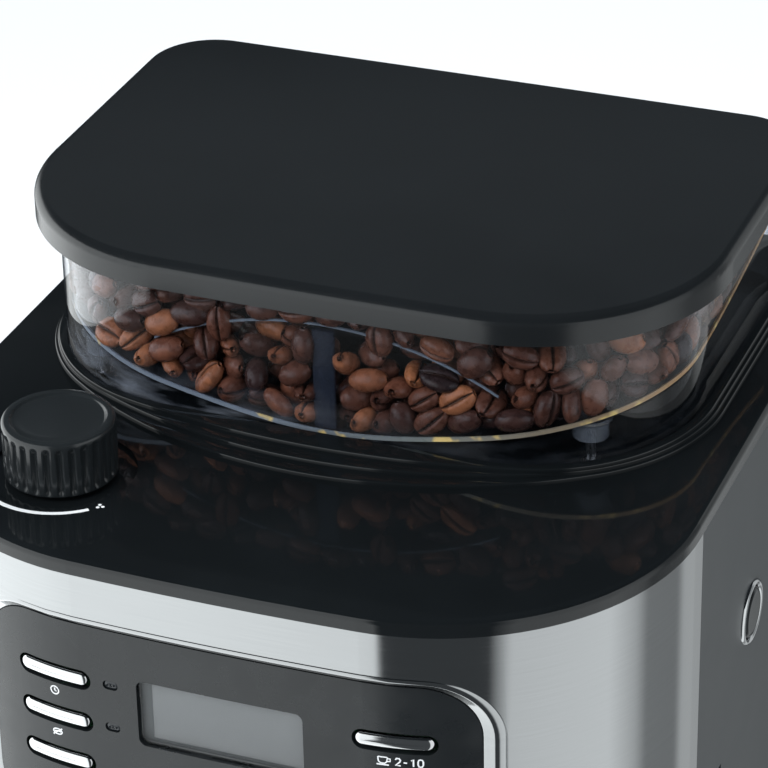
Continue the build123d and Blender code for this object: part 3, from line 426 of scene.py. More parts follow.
def loops_piece(name, loops, slot, body, closed_profile=True, material=None):
    """A piece skinned over closed loops of equal length, with the last joined to the first if asked."""
    verts = [v for loop in loops for v in loop]
    faces = grid_faces(len(loops), len(loops[0]), closed_rows=closed_profile, closed_columns=True)
    return add_piece(name, verts, faces, slot, body, material=material)


def capped_piece(name, loops, slot, body, material=None):
    """A piece skinned over closed loops of equal length, with a face on its first loop and its last."""
    verts = [v for loop in loops for v in loop]
    count = len(loops[0])
    faces = grid_faces(len(loops), count, closed_columns=True)
    faces += [tuple(reversed(range(count))), tuple(range(len(verts) - count, len(verts)))]
    return add_piece(name, verts, faces, slot, body, material=material)


def crisp(piece, angle=0.6):
    """Smooth shading with hard edges where faces meet sharply."""
    piece.data.set_sharp_from_angle(angle=angle)
    return piece


# ---- control panel --------------------------------------------------------------------------
def front_place(x, z, inset):
    return (x, front_point(x, inset)[0], z)


def panel_surround():
    """Pressed steel surround: a fine crease outside, then a bevel that dips to the panel."""
    outer = window_outline(FRAME_HIGH.x, FRAME_LOW.z, FRAME_HIGH.z, SURROUND_R)
    inner = window_outline(PANEL_HIGH.x, PANEL_LOW.z, PANEL_HIGH.z, PANEL_R)
    profile = [
        # share of the way from the outer outline to the inner one, depth behind the body's front in mm
        (0.0, 1.52), (0.03, 1.8), (0.06, 2.1), (0.10, 2.1), (0.14, 1.8), (0.2, 1.66), (0.36, 1.62),
        (0.44, 1.75), (0.52, 2.05), (0.9, 3.5), (0.96, 3.7), (1.0, 3.9), (0.5, 3.95), (0.0, 3.9),
    ]
    loops = []
    for across, inset in profile:
        loop = [(a[0] + (b[0] - a[0]) * across, a[1] + (b[1] - a[1]) * across) for a, b in zip(outer, inner)]
        loops.append([front_place(x, z, inset * MM) for x, z in loop])
    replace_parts(loops_piece("panel_surround", loops, "brushed_steel", "housing"), "panel_frame")


def ribbon(points, width, place, lift=0.05 * MM, closed=False):
    """A raised printed line along points in 2D: place(u, v, height) puts it on its surface."""
    count = len(points)
    verts = []
    for i, (u, v) in enumerate(points):
        before = points[i - 1] if (i or closed) else points[0]
        after = points[(i + 1) % count] if (i < count - 1 or closed) else points[-1]
        du, dv = after[0] - before[0], after[1] - before[1]
        length = max(hypot(du, dv), 1e-9)
        half_w = (width(i / (count - 1)) if callable(width) else width) / 2
        nu, nv = -dv / length * half_w, du / length * half_w
        left, right = (u - nu, v - nv), (u + nu, v + nv)
        verts += [place(*left, lift), place(*right, lift), place(*right, -3 * lift), place(*left, -3 * lift)]
    faces = grid_faces(count, 4, closed_rows=closed, closed_columns=True)
    if not closed:
        faces += [(0, 1, 2, 3), tuple(4 * (count - 1) + k for k in (3, 2, 1, 0))]
    return verts, faces


def printed(name, lines, place):
    """One piece of white print made of several ribbons: (points, width, closed)."""
    verts, faces = [], []
    for points, width, closed in lines:
        more_verts, more_faces = ribbon(points, width, place, closed=closed)
        faces += [tuple(len(verts) + v for v in f) for f in more_faces]
        verts += more_verts
    add_piece(name, verts, faces, "white_nylon", "housing", smooth=False, material=PRINT_WHITE)


DIGITS = {
    "0": [(0.0, 0.3), (0.1, 0.05), (0.3, 0.0), (0.5, 0.05), (0.6, 0.3), (0.6, 0.7),
          (0.5, 0.95), (0.3, 1.0), (0.1, 0.95), (0.0, 0.7), (0.0, 0.3)],
    "1": [(0.1, 0.78), (0.35, 1.0), (0.35, 0.0)],
    "2": [(0.0, 0.78), (0.12, 0.97), (0.45, 0.98), (0.6, 0.78), (0.55, 0.55), (0.0, 0.0), (0.62, 0.0)],
    "-": [(0.08, 0.45), (0.5, 0.45)],
}


def digit_lines(text, x, y, height, width):
    lines = []
    for i, mark in enumerate(text):
        points = [(x + (u * 0.95 + i * 0.85) * height, y + v * height) for u, v in DIGITS[mark]]
        lines.append((points, width, False))
    return lines


def mark_lines(kind):
    """Strokes of a generic symbol about its own middle, in millimetres."""
    if kind == "clock":
        return [(circle(1.35), True), ([(0, 0.8), (0, 0), (0.6, -0.3)], False)]
    if kind == "bean_off":
        bean = [(1.5 * cos(a / 10 * pi), 0.95 * sin(a / 10 * pi)) for a in range(20)]
        crease, stroke = [(-1.1, -0.1), (0, 0.2), (1.1, 0.0)], [(-1.6, -1.3), (1.6, 1.3)]
        return [(bean, True), (crease, False), (stroke, False)]
    if kind == "up":
        return [([(-1.1, -0.5), (0, 0.8), (1.1, -0.5)], False)]
    if kind == "double_up":
        return [([(-1.1, -1.1), (0, 0.1), (1.1, -1.1)], False), ([(-1.1, 0.0), (0, 1.2), (1.1, 0.0)], False)]
    if kind == "cup":
        bowl = [(-1.5, 1.0), (-1.35, -0.5), (-0.7, -1.1), (0.5, -1.1), (1.1, -0.5), (1.25, 1.0), (-1.5, 1.0)]
        handle = [(1.2, 0.6), (2.1, 0.6), (2.1, -0.3), (1.15, -0.35)]
        return [(bowl, False), (handle, False), ([(-1.9, -1.6), (1.7, -1.6)], False)]
    if kind == "strength":
        return [(circle(0.35 + 0.25 * i, 14, cx=-2.0 + 1.9 * i), True) for i in range(3)]
    if kind == "warm":
        wave = [(0.35 * sin(v * 2.4), v - 1.2) for v in (0, 0.4, 0.8, 1.2, 1.6, 2.0, 2.4)]
        return [(moved(wave, dx, 0, 1), False) for dx in (-1.1, 0, 1.1)]
    ring = [(1.25 * sin(a), 1.25 * cos(a)) for a in (0.6 + i * (2 * pi - 1.2) / 18 for i in range(19))]
    return [(ring, False), ([(0, 1.5), (0, 0.3)], False)]


def panel_print():
    """A small symbol under every button, on the panel's face."""
    symbols = {
        "program": "clock", "grind_off": "bean_off", "hour": "up", "minute": "double_up",
        "cups": "cup", "strength": "strength", "keep_warm": "warm", "on_off": "power",
    }

    def on_panel(x, z, lift):
        return front_place(x, z, PANEL_INSET - lift)

    for button, kind in symbols.items():
        low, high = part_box("button_" + button)
        x, z = (low.x + high.x) / 2, low.z - 3.4 * MM
        lines = []
        if kind == "cup":
            x -= 3.2 * MM
            lines = digit_lines("2-10", x + 3.6 * MM, z - 1.4 * MM, 2.5 * MM, 0.45 * MM)
        lines += [(moved(points, x, z), 0.42 * MM, closed) for points, closed in mark_lines(kind)]
        printed("print_" + button, lines, on_panel)


def domed_cap(name, outline_of, base, crown, slot, body):
    """A pillow-shaped cap: outline_of(shrink) is its outline in X and Z, base and crown its depths."""
    profile = [
        # shrink in mm, share of the way from base to crown
        (0.0, -0.8), (0.0, 0.0), (0.12, 0.35), (0.35, 0.62), (0.75, 0.84), (1.3, 0.96), (2.0, 1.0),
    ]
    loops = []
    for shrink, rise in profile:
        inset = base + (crown - base) * rise
        loops.append([front_place(x, z, inset) for x, z in outline_of(shrink * MM)])
    return capped_piece(name, loops, slot, body)


def button_outline(low, high):
    """Stadium outline of a control, as a function of how much it is shrunk."""
    def shrunk(by):
        middle, half_h = (low.z + high.z) / 2, (high.z - low.z) / 2 - by
        left, right = low.x + by + half_h, high.x - by - half_h
        bottom, top = middle - half_h, middle + half_h
        points = arc_points((right, middle), half_h, pi / 2, -pi / 2, 16)
        points += line_points((right, bottom), (left, bottom), 20)
        points += arc_points((left, middle), half_h, -pi / 2, -3 * pi / 2, 16)
        points += line_points((left, top), (right, top), 20)
        return points

    return shrunk


def control_caps():
    """Domed chrome caps on the buttons and small dark lenses beside two of them."""
    for node in [n for n in nodes if n.startswith("button_")]:
        low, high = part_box(node)
        outline = button_outline(low + Vector((0.3, 0, 0.9)) * MM, high - Vector((0.3, 0, 0.1)) * MM)
        name, body = node.replace("button", "cap"), node.replace("button", "key")
        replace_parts(domed_cap(name, outline, 3.9 * MM, 2.72 * MM, "chrome", body), node)
    low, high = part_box("indicator_lenses")
    height = 3.0 * MM
    for name, z in (("lens_upper", high.z), ("lens_lower", low.z + height)):
        outline = button_outline(Vector((low.x, 0, z - height)), Vector((high.x, 0, z)))
        lens = domed_cap(name, outline, 4.4 * MM, 3.85 * MM, "indicator_lens", "housing")
        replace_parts(lens, "indicator_lenses")


def display_recess_shade():
    """Dark border inside the display, wider at the left and the top: painted shade of the window's recess."""
    low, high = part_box("display_window")
    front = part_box("display_module")[0].y - 0.15 * MM
    outer = [(low.x, low.z), (high.x, low.z), (high.x, high.z), (low.x, high.z)]
    inner = [(low.x + 3.6 * MM, low.z + 1.5 * MM), (high.x - 1.2 * MM, low.z + 1.5 * MM),
             (high.x - 1.2 * MM, high.z - 1.2 * MM), (low.x + 3.6 * MM, high.z - 1.2 * MM)]
    loops = [[(x, y, z) for x, z in corners] for corners, y in
             ((outer, front), (inner, front), (inner, front + 0.1 * MM), (outer, front + 0.1 * MM))]
    # painted shade of the window's recess along the display's left and top
    recess_shade = moulded("display_painted_shade", (0.055, 0.060, 0.064), 0.35)
    crisp(loops_piece("display_painted_shade", loops, "display_grey", "housing", material=recess_shade))


# ---- knob and deck --------------------------------------------------------------------------
def knob_cap():
    """Fluted knob: rounded grooves round the side, a rolled rim and a dished top."""
    low, high = DECK + 0.4 * MM, KNOB_HIGH.z
    levels = [
        # radius in mm, height from the top in mm (None: the foot), share of the flute's depth
        (15.6, None, 0.0), (16.75, None, 0.0), (17.0, -17.6, 0.15), (17.0, -16.8, 0.8), (17.0, -16.0, 1.0),
        (17.0, -9.0, 1.0), (17.0, -4.2, 1.0), (17.0, -3.2, 0.75), (17.0, -2.5, 0.3), (17.0, -2.1, 0.0),
        (16.93, -1.3, 0.0), (16.75, -0.7, 0.0), (16.4, -0.25, 0.0), (15.9, -0.04, 0.0), (15.4, 0.0, 0.0),
        (14.8, 0.0, 0.0), (14.4, -0.1, 0.0), (14.1, -0.38, 0.0), (13.9, -0.72, 0.0), (13.5, -0.9, 0.0),
        (10.0, -0.98, 0.0), (6.0, -1.05, 0.0), (2.0, -1.08, 0.0),
    ]
    count = KNOB_FLUTES * 10
    loops = []
    for r, drop, share in levels:
        z = low if drop is None else high + drop * MM
        loop = []
        for i in range(count):
            angle = 2 * pi * i / count
            groove = FLUTE_DEPTH * max(0.0, 0.15 + 0.85 * cos(KNOB_FLUTES * angle)) ** 0.8
            reach = r * MM - share * groove
            loop.append((KNOB_XY[0] + reach * cos(angle), KNOB_XY[1] + reach * sin(angle), z))
        loops.append(loop)
    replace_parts(capped_piece("knob_cap", loops, "knob_black", "knob"), "grind_knob")


def knob_shaft():
    """The knob's shaft under the deck."""
    low, high = KNOB_LOW.z, DECK + 0.6 * MM
    loops = []
    for r, z in ((0.5, low), (3.6, low), (4.0, low + 0.4 * MM), (4.0, high), (0.5, high)):
        loops.append([(x, y, z) for x, y in circle(r * MM, 40, *KNOB_XY)])
    crisp(loops_piece("knob_shaft", loops, "knob_black", "knob"))


def deck_scale():
    """The grind scale round the knob: a tapering line, fine at its right end and coarse at its left."""
    def on_deck(x, y, lift):
        return (x, y, DECK + lift)

    start, end, steps = radians(-172), radians(-46), 60
    angles = [start + (end - start) * i / steps for i in range(steps + 1)]
    line = [(KNOB_XY[0] + SCALE_R * cos(a), KNOB_XY[1] + SCALE_R * sin(a)) for a in angles]
    lines = [(line, lambda t: (1.7 - 0.35 * t) * MM, False)]
    for angle, dots, size in ((radians(-37.5), 3, 0.3), (radians(-181), 1, 0.75)):
        cx, cy = KNOB_XY[0] + SCALE_R * cos(angle), KNOB_XY[1] + SCALE_R * sin(angle)
        for k in range(dots):
            turn = 2 * pi * k / 3
            off = 0.0 if dots == 1 else 0.85 * MM
            dot = moved(circle(size, 12), cx + off * cos(turn), cy + off * sin(turn))
            lines.append((dot, 0.5 * MM, True))
    printed("deck_scale", lines, on_deck)


def collar():
    """Stepped collar round the hopper's foot, with rounded step edges that catch the light."""
    back, back_corner = 99.5, 19.0
    steps = [
        # half width, front, bow radius, corner radius, foot and top above the deck, all in mm
        (108.5, -66.0, 140.0, 60.0, 0.0, 1.6), (107.3, -60.5, 165.0, 58.0, 1.6, 3.0),
        (106.2, -55.0, 260.0, 57.0, 3.0, 4.4),
    ]
    loops = []
    for half, front, bow, corner, low, high in steps:
        rounding = ((0.0, high - 0.45), (0.08, high - 0.22), (0.22, high - 0.08), (0.45, high))
        for inset, z in ((0.0, low), *rounding):
            plan = rounded_outline((half - inset) * MM, (front + inset) * MM, (back - inset) * MM,
                                   (bow - inset) * MM, (corner - inset) * MM, (back_corner - inset) * MM)
            loops.append([(x, y, DECK + z * MM) for x, y in plan])
    inner = lid_outline(7.1 * MM)
    loops.append([(x, y, DECK + 4.4 * MM) for x, y in inner])
    loops.append([(x, y, DECK) for x, y in inner])
    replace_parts(crisp(loops_piece("hopper_collar", loops, "deck_gloss", "housing"), 0.9), "hopper_surround")


# ---- hopper details -------------------------------------------------------------------------
def edge_material(name, low_x, high_x):
    """The floor's thick edge seen through the wall: grey-green plastic, with a painted reflection of the beans
    turning it golden to the right, and painted glints.
    """
    s = Shader(name, (0.4, 0.42, 0.38), 0.3)
    across = s.add("SeparateXYZ", {0: s.place()}).outputs["X"]
    turn = s.span(across, 0.0, 1.0, low_x, high_x)
    # painted reflection of the beans: golden towards the right
    base = s.tint(turn, [
        (0.0, (0.17, 0.20, 0.24)), (0.45, (0.17, 0.185, 0.17)),
        (0.8, (0.26, 0.20, 0.13)), (1.0, (0.46, 0.26, 0.11)),
    ])
    # painted glints of light
    painted_glints = s.span(s.noise(0.006, 2.0), 0.0, 1.0, 0.58, 0.68)
    colour = s.add("Mix", {"Factor": painted_glints, 6: base, 7: (0.75, 0.55, 0.2, 1)}, data_type="RGBA").outputs[2]
    s.drive("Base Color", colour)
    s.drive("Roughness", s.span(s.noise(0.01), 0.2, 0.4))
    return s.material


def floor_bead():
    """The rim where the hopper's funnel floor meets its wall."""
    loops = []
    for inset, rise in ((9.3, -1.3), (9.3, 0.3), (10.1, 0.15), (10.1, -1.0)):
        loop = []
        for x, y in lid_outline(inset * MM):
            loop.append((x, y, funnel_z(hypot(x, y - BURR_Y)) + rise * MM))
        loops.append(loop)
    edge = edge_material("hopper_floor_edge", -0.02, 0.10)
    crisp(loops_piece("hopper_floor_rim", loops, "clear_plastic", "housing", material=edge))


def guard_edges():
    """The bean guard's front edge and its middle post's face, where the clear plastic gathers light; the
    edge's line of light is a painted highlight, a milky strip.
    """
    half, steps = GUARD_HIGH.x, 40
    front = GUARD_LOW.y - 0.35 * MM
    back = front + 0.5 * MM
    loops = []
    for i in range(steps + 1):
        x = -half + 2 * half * i / steps
        z = GUARD_HIGH.z - GUARD_ARCH_R + sqrt(GUARD_ARCH_R**2 - x**2)
        low = z - 0.6 * MM
        loops.append([(x, front, low), (x, front, z), (x, back, z + 0.1 * MM), (x, back, low)])
    # painted highlight: a milky strip standing for the light along the guard's edge
    painted_edge_light = see_through("guard_edge", (0.75, 0.8, 0.88), rough=0.1, body=0.5, body_colour=(0.26, 0.30, 0.34))
    crisp(capped_piece("bean_guard_edge", loops, "clear_plastic", "housing", material=painted_edge_light))
    low, high = funnel_z(BURR_Y - GUARD_LOW.y) + 0.3 * MM, GUARD_HIGH.z - 2 * MM
    back = front + 1.2 * MM
    loops = []
    for x, bulge in ((-3.4, 0.0), (-2.2, 0.5), (2.2, 0.5), (3.4, 0.0)):
        near = front - bulge * MM
        loops.append([(x * MM, near, low), (x * MM, near, high), (x * MM, back, high), (x * MM, back, low)])
    blue = see_through("guard_post", (0.60, 0.64, 0.72), rough=0.08, body=0.3,
                       body_colour=(0.05, 0.06, 0.085))
    crisp(capped_piece("bean_guard_post", loops, "clear_plastic", "housing", material=blue))


def boss_sleeves():
    """Frosted skins on the two screw bosses under the hopper floor."""
    frosted = see_through("boss_frosted", (0.85, 0.88, 0.92), rough=0.08, face_on=0.06, body=0.13,
                          body_colour=(0.5, 0.53, 0.56))
    low = DECK + 8.8 * MM
    for name, boss_x in (("boss_sleeve_left", -BOSS_X), ("boss_sleeve_right", BOSS_X)):
        loops = []
        for r, rise in ((5.1, 0.0), (5.5, 0.3), (5.5, 5.2), (6.6, 6.4), (5.15, 6.6)):
            loops.append([(x, y, low + rise * MM) for x, y in circle(r * MM, 40, boss_x, BOSS_Y)])
        crisp(loops_piece(name, loops, "clear_plastic", "housing", material=frosted))


def release_ring():
    """Half-round chrome ring round the release button."""
    low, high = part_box("release_bezel")
    y, z = (low.y + high.y) / 2, (low.z + high.z) / 2
    outer, inner = (high.z - low.z) / 2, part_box("release_button")[1].z - z + 0.3 * MM
    middle, half, bulge = (outer + inner) / 2, (outer - inner) / 2, 1.1 * MM
    angles = [pi * k / 8 for k in range(9)]
    profile = [(high.x - bulge + bulge * sin(a), middle + half * cos(a)) for a in angles]
    profile += [(low.x, inner), (low.x, inner + 0.75 * MM), (high.x - 1.2 * MM, inner + 0.8 * MM)]
    rings = [[(x, v, w) for v, w in circle(r, 72, y, z)] for x, r in profile]
    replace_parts(crisp(loops_piece("release_ring", rings, "chrome", "housing"), 0.8), "release_bezel")


# ---- camera, light and floor ----------------------------------------------------------------
def place_camera():
    azimuth, elevation, roll = radians(21.822), radians(29.434), radians(1.215)
    target, distance = Vector((4.738, -6.11, 364.0)) * MM, 1.11709
    back = Vector((sin(azimuth) * cos(elevation), -cos(azimuth) * cos(elevation), sin(elevation)))
    right = Vector((cos(azimuth), sin(azimuth), 0))
    up = back.cross(right)
    x_axis = cos(roll) * right - sin(roll) * up
    y_axis = sin(roll) * right + cos(roll) * up
    data = bpy.data.cameras.new("camera")
    data.lens, data.sensor_width = 170.42, 36
    data.clip_start, data.clip_end = 0.05, 50
    camera = bpy.data.objects.new("camera", data)
    bpy.context.scene.collection.objects.link(camera)
    matrix = Matrix((x_axis, y_axis, back)).transposed().to_4x4()
    matrix.translation = target + back * distance
    camera.matrix_world = matrix
    bpy.context.scene.camera = camera


def area_light(name, place, size, power):
    """A lamp turned to the machine's middle. Reflections don't see it."""
    data = bpy.data.lights.new(name, "AREA")
    data.shape, data.size, data.size_y = "RECTANGLE", size[0], size[1]
    data.energy = power
    lamp = bpy.data.objects.new(name, data)
    bpy.context.scene.collection.objects.link(lamp)
    lamp.location = place
    lamp.rotation_mode = "QUATERNION"
    lamp.rotation_quaternion = (Vector((0, 0, 0.3)) - Vector(place)).to_track_quat("-Z", "Y")
    lamp.visible_glossy = False


def light_world():
    """Pale to the camera, a soft fill for matte surfaces, and in reflections a grey wall, black higher up."""
    world = bpy.data.worlds.new("studio")
    bpy.context.scene.world = world
    world.use_nodes = True
    tree = world.node_tree
    background = tree.nodes["Background"]
    path = tree.nodes.new("ShaderNodeLightPath")
    mirror = tree.nodes.new("ShaderNodeMix")
    mirror.data_type = "RGBA"
    mirror.inputs[6].default_value = (0.56, 0.62, 0.67, 1)
    ramp = tree.nodes.new("ShaderNodeMapRange")
    ramp.inputs["From Min"].default_value = sin(radians(19))
    ramp.inputs["From Max"].default_value = sin(radians(30))
    split = tree.nodes.new("ShaderNodeSeparateXYZ")
    tree.links.new(tree.nodes.new("ShaderNodeTexCoord").outputs["Generated"], split.inputs[0])
    tree.links.new(split.outputs["Z"], ramp.inputs["Value"])
    backdrop = tree.nodes.new("ShaderNodeMix")
    backdrop.data_type = "RGBA"
    backdrop.inputs[6].default_value = (0.28, 0.31, 0.33, 1)
    backdrop.inputs[7].default_value = (0.014, 0.017, 0.02, 1)
    tree.links.new(ramp.outputs[0], backdrop.inputs["Factor"])
    tree.links.new(backdrop.outputs[2], mirror.inputs[7])
    tree.links.new(path.outputs["Is Glossy Ray"], mirror.inputs["Factor"])
    seen = tree.nodes.new("ShaderNodeMix")
    seen.data_type = "RGBA"
    seen.inputs[7].default_value = (0.93, 0.935, 0.94, 1)
    tree.links.new(path.outputs["Is Camera Ray"], seen.inputs["Factor"])
    tree.links.new(mirror.outputs[2], seen.inputs[6])
    tree.links.new(seen.outputs[2], background.inputs["Color"])


def floor_stage():
    mesh = bpy.data.meshes.new("floor")
    half = 20.0
    corners = [(-half, -half, 0), (half, -half, 0), (half, half, 0), (-half, half, 0)]
    mesh.from_pydata(corners, [], [(0, 1, 2, 3)])
    floor = bpy.data.objects.new("floor", mesh)
    bpy.context.scene.collection.objects.link(floor)
    s = Shader("floor_white", (0.9, 0.9, 0.9), 0.6)
    s.set("Specular IOR Level", 0.2)
    mesh.materials.append(s.material)
    floor.visible_glossy = False


SOFTBOX_STOPS = [
    # azimuth from -Y towards +X in degrees, brightness
    (-180, 0.03), (-128, 0.03), (-118, 1.7), (-90, 2.6), (-68, 2.0), (-40, 1.8), (-20, 1.5), (-2.2, 1.25),
    (-1.0, 0.07), (38, 0.07), (46, 1.0), (86, 1.12), (100, 0.7), (107, 0.32), (130, 0.28), (137, 0.6),
    (150, 0.55), (158, 0.05), (180, 0.03),
]


def softbox_ring():
    """A ring of white and black cards round the set, closed below. Only reflections see it."""
    radius, low, high, turns = 0.55, -0.45, 0.62, 180
    angles = [2 * pi * i / turns for i in range(turns)]
    verts = [(radius * sin(a), -radius * cos(a), level) for level in (low, high) for a in angles]
    verts.append((0, 0, low))
    faces = grid_faces(2, turns, closed_columns=True)
    faces += [(i, (i + 1) % turns, 2 * turns) for i in range(turns)]
    mesh = bpy.data.meshes.new("cards")
    mesh.from_pydata(verts, [], faces)
    ring = bpy.data.objects.new("cards", mesh)
    bpy.context.scene.collection.objects.link(ring)
    s = Shader("card_light", (0, 0, 0), 1.0)
    split = s.add("SeparateXYZ", {0: s.place()})
    x, y = split.outputs["X"], split.outputs["Y"]
    minus_y = s.add("Math", {0: y, 1: -1.0}, operation="MULTIPLY").outputs[0]
    angle = s.add("Math", {0: x, 1: minus_y}, operation="ARCTAN2").outputs[0]
    turn = s.span(angle, 0.0, 1.0, -pi, pi)
    stops = [((a + 180) / 360, (b * 0.32, b * 0.332 + 0.0015, b / 3 + 0.003)) for a, b in SOFTBOX_STOPS]
    ramp = s.tint(turn, stops)
    light = s.add("Emission", {"Color": ramp, "Strength": 3.0})
    s.links.new(light.outputs[0], s.output.inputs["Surface"])
    mesh.materials.append(s.material)
    ring.visible_camera = ring.visible_diffuse = ring.visible_shadow = ring.visible_transmission = False


def light_set():
    light_world()
    floor_stage()
    softbox_ring()
    area_light("key", (-0.9, -1.3, 1.5), (1.2, 1.2), 32)
    area_light("fill", (1.4, -1.1, 0.9), (1.2, 0.9), 5)
    area_light("top", (0.1, 0.9, 2.0), (1.6, 1.2), 20)


# ---- coffee beans ---------------------------------------------------------------------------
WALL_INSET = 9.2 * MM
BEAN_LENGTH, BEAN_WIDTH = 11.7 * MM, 8.5 * MM
BEAN_DOME, BEAN_BELLY = 3.5 * MM, 2.6 * MM
LOBE_R, LOBE_GAP = 3.6 * MM, 4.1 * MM
BEAN_COUNT = 1330
SHELL_DEPTH = 15 * MM


def plan_depth(x, y, inset):
    """How far points lie inside the lid outline pulled in by inset, and the way towards its middle."""
    half, front, back = LID_HIGH.x - inset, LID_LOW.y + inset, LID_HIGH.y - inset
    side = np.where(x < 0, -1.0, 1.0)
    ax = np.abs(x)
    gaps = np.stack([half - ax, y - front, back - y])
    nearest = gaps.argmin(0)
    depth = gaps.min(0)
    inward_x = np.where(nearest == 0, -side, 0.0)
    inward_y = np.where(nearest == 1, 1.0, np.where(nearest == 2, -1.0, 0.0))
    for radius, centre_y, front_side in (
        (LID_CORNER_R - inset, front + LID_CORNER_R - inset, True),
        (LID_BACK_R - inset, back - LID_BACK_R + inset, False),
    ):
        dx = ax - (half - radius)
        dy = y - centre_y
        corner = (dx > 0) & ((dy < 0) if front_side else (dy > 0))
        reach = np.hypot(dx, dy)
        depth = np.where(corner, radius - reach, depth)
        inward_x = np.where(corner, -side * dx / np.maximum(reach, 1e-9), inward_x)
        inward_y = np.where(corner, -dy / np.maximum(reach, 1e-9), inward_y)
    return depth, inward_x, inward_y


def heap_top(x, y):
    return DECK + 42.6 * MM + 1.6 * MM * np.sin(x / (21 * MM)) * np.cos(y / (17 * MM))


def keep_inside(p):
    """Moves bean lobes back between the hopper's wall, floor, guard and the top of the heap."""
    depth, ix, iy = plan_depth(p[:, 0], p[:, 1], WALL_INSET)
    push = np.maximum(LOBE_R - depth, 0)
    p[:, 0] += ix * push
    p[:, 1] += iy * push
    reach = np.hypot(p[:, 0], p[:, 1] - BURR_Y)
    floor = np.where(reach > 24 * MM, funnel_z(reach), DECK - 8 * MM) + LOBE_R * 1.035
    p[:, 2] = np.clip(p[:, 2], floor, np.maximum(heap_top(p[:, 0], p[:, 1]) - LOBE_R, floor))
    arch = np.sqrt(np.maximum(GUARD_ARCH_R**2 - p[:, 0] ** 2, 0))
    roof = GUARD_HIGH.z - GUARD_ARCH_R + arch - GUARD_THICK / 2
    clear = LOBE_R + GUARD_THICK / 2
    near = (np.abs(p[:, 0]) < GUARD_HIGH.x) & (p[:, 1] > GUARD_LOW.y) & (p[:, 1] < GUARD_HIGH.y)
    near &= np.abs(p[:, 2] - roof) < clear
    p[near, 2] = roof[near] + np.where(p[near, 2] > roof[near], clear, -clear)
    for x, y in GUARD_POSTS:
        dx, dy = p[:, 0] - x, p[:, 1] - y
        away = np.maximum(np.hypot(dx, dy), 1e-6)
        push = np.maximum(LOBE_R + 3 * MM - away, 0) * (p[:, 2] < GUARD_HIGH.z)
        p[:, 0] += dx / away * push
        p[:, 1] += dy / away * push


def pack_beans(rng, rounds=110):
    """Each bean is two round lobes a fixed way apart; they push each other apart until they lie in a heap."""
    half_x, low_y, high_y = LID_HIGH.x - WALL_INSET, LID_LOW.y + WALL_INSET, LID_HIGH.y - WALL_INSET
    centres = []
    while len(centres) < BEAN_COUNT:
        x, y = rng.uniform(-half_x, half_x), rng.uniform(low_y, high_y)
        z = rng.uniform(DECK, DECK + 44 * MM)
        depth = plan_depth(np.array([x]), np.array([y]), WALL_INSET)[0][0]
        if depth > 2 * MM and z > funnel_z(hypot(x, y - BURR_Y)):
            centres.append((x, y, z))
    centres = np.array(centres)
    axes = rng.normal(size=(BEAN_COUNT, 3))
    axes /= np.linalg.norm(axes, axis=1)[:, None]
    p = np.concatenate([centres + axes * LOBE_GAP / 2, centres - axes * LOBE_GAP / 2])
    for turn in range(rounds):
        if turn % 6 == 0:
            tree = kdtree.KDTree(len(p))
            for i, q in enumerate(p):
                tree.insert(q, i)
            tree.balance()
            pairs = set()
            for i, q in enumerate(p):
                for _, j, _ in tree.find_range(q, LOBE_R * 2.25):
                    if j > i and j - i != BEAN_COUNT:
                        pairs.add((i, j))
            pairs = np.array(sorted(pairs))
        gap = p[pairs[:, 1]] - p[pairs[:, 0]]
        reach = np.maximum(np.linalg.norm(gap, axis=1), 1e-6)
        push = np.maximum(2 * LOBE_R - reach, 0) * 0.3
        move = gap / reach[:, None] * push[:, None]
        np.add.at(p, pairs[:, 1], move)
        np.add.at(p, pairs[:, 0], -move)
        p[:, 2] -= 0.08 * MM * (turn < rounds * 0.6)
        keep_inside(p)
        span = p[:BEAN_COUNT] - p[BEAN_COUNT:]
        length = np.maximum(np.linalg.norm(span, axis=1), 1e-6)
        fix = span / length[:, None] * ((length - LOBE_GAP) / 2)[:, None]
        p[:BEAN_COUNT] -= fix
        p[BEAN_COUNT:] += fix
    return p[:BEAN_COUNT], p[BEAN_COUNT:]


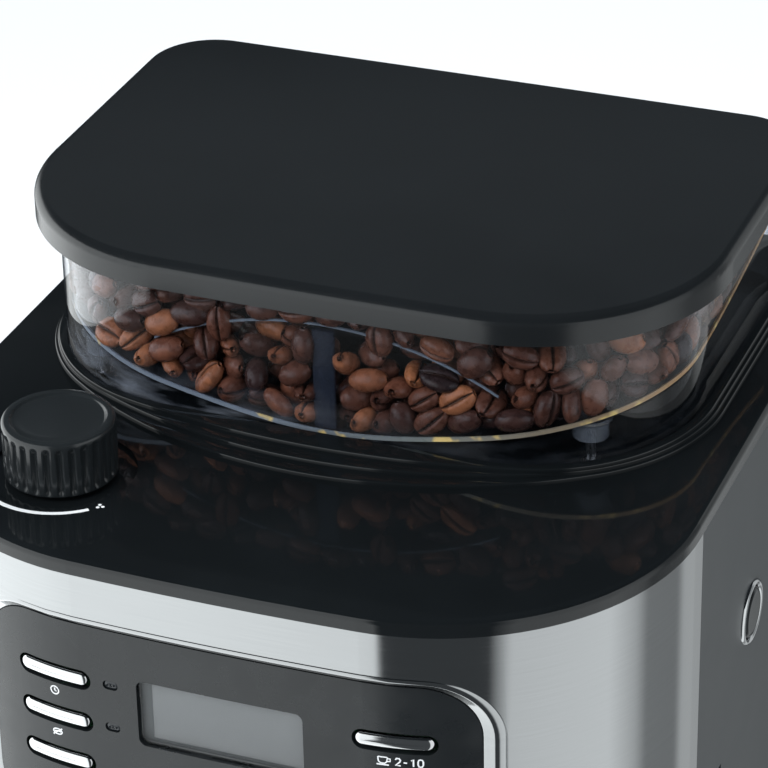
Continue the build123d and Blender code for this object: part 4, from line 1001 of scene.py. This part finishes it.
def bean_shape():
    """One bean along X, domed towards +Z, with its crease on the flat side: points, groove (where painted
    shade darkens the crease) and faces.
    """
    rings = 11
    around = [0.0, 0.5, 1.0, 1.5, 2.0, 2.45, 2.78, 2.96, 3.06]
    around += [pi] + [2 * pi - a for a in reversed(around[1:])]
    verts, groove = [], []
    for r in range(rings):
        theta = pi * (0.06 + 0.88 * r / (rings - 1))
        ring = sin(theta) ** 0.85
        for a in around:
            y = sin(a) * ring
            up = cos(a)
            z = up * BEAN_DOME if up > 0 else -BEAN_BELLY * abs(up) ** 0.55
            z *= ring
            depth = max(0.0, 1 - abs(a - pi) / 0.19)
            lip = max(0.0, 1 - abs(abs(a - pi) - 0.3) / 0.25)
            z += depth * 1.15 * MM * ring**0.5 - lip * 0.22 * MM * ring
            bend = 0.10 * sin(1.6 * (theta - pi / 2)) * (1 if up < 0 else 0) * max(0.0, 1 - abs(a - pi) / 1.0)
            verts.append((cos(theta) * BEAN_LENGTH / 2, (y + bend) * BEAN_WIDTH / 2, z))
            # mask of the painted shade in the crease
            groove.append(min(1.0, depth * 1.2))
    columns = len(around)
    faces = grid_faces(rings, columns, closed_columns=True)
    faces.append(tuple(range(columns)))
    faces.append(tuple(reversed(range((rings - 1) * columns, rings * columns))))
    return np.array(verts), np.array(groove), [tuple(reversed(f)) for f in faces]


def coffee_beans():
    rng = np.random.default_rng(11)
    ends_a, ends_b = pack_beans(rng)
    shape, groove, faces = bean_shape()
    all_verts, all_faces, tones, crease_shade_masks = [], [], [], []
    centres = (ends_a + ends_b) / 2
    depth, ix, iy = plan_depth(centres[:, 0], centres[:, 1], WALL_INSET)
    for i, centre in enumerate(centres):
        size = rng.uniform(0.88, 1.1, 3)
        roll, tone, flip = rng.normal(0, 0.55), rng.beta(2.2, 2.2), rng.random() < 0.42
        below_top = heap_top(centre[0], centre[1]) - centre[2]
        if depth[i] > SHELL_DEPTH and below_top > 10 * MM:
            continue
        long_axis = Vector(ends_a[i] - ends_b[i]).normalized()
        outward = Vector((-ix[i], -iy[i], 0)) if depth[i] < below_top + 4 * MM else Vector((0, 0, 1))
        facing = (outward - long_axis * outward.dot(long_axis)).normalized()
        if flip:
            facing = -facing
        facing = Matrix.Rotation(roll, 3, long_axis) @ facing
        across = facing.cross(long_axis)
        turn = np.array([long_axis, across, facing])
        start = len(all_verts) * len(shape)
        all_verts.append((shape * size) @ turn + centre)
        all_faces += [tuple(start + v for v in f) for f in faces]
        tones.append(np.full(len(shape), tone))
        crease_shade_masks.append(groove)
    piece = add_piece("beans", np.concatenate(all_verts), all_faces, "coffee_beans", "housing")
    for name, values in (("tone", tones), ("groove", crease_shade_masks)):
        layer = piece.data.attributes.new(name, "FLOAT", "POINT")
        layer.data.foreach_set("value", np.concatenate(values).astype(np.float32))
    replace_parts(piece, "coffee_beans")


# ---- run ------------------------------------------------------------------------------------
bpy.context.scene.view_settings.view_transform = "Standard"
place_camera()
light_set()
dress_nodes()
panel_surround()
panel_print()
control_caps()
display_recess_shade()
knob_cap()
knob_shaft()
deck_scale()
collar()
floor_bead()
guard_edges()
boss_sleeves()
release_ring()
coffee_beans()
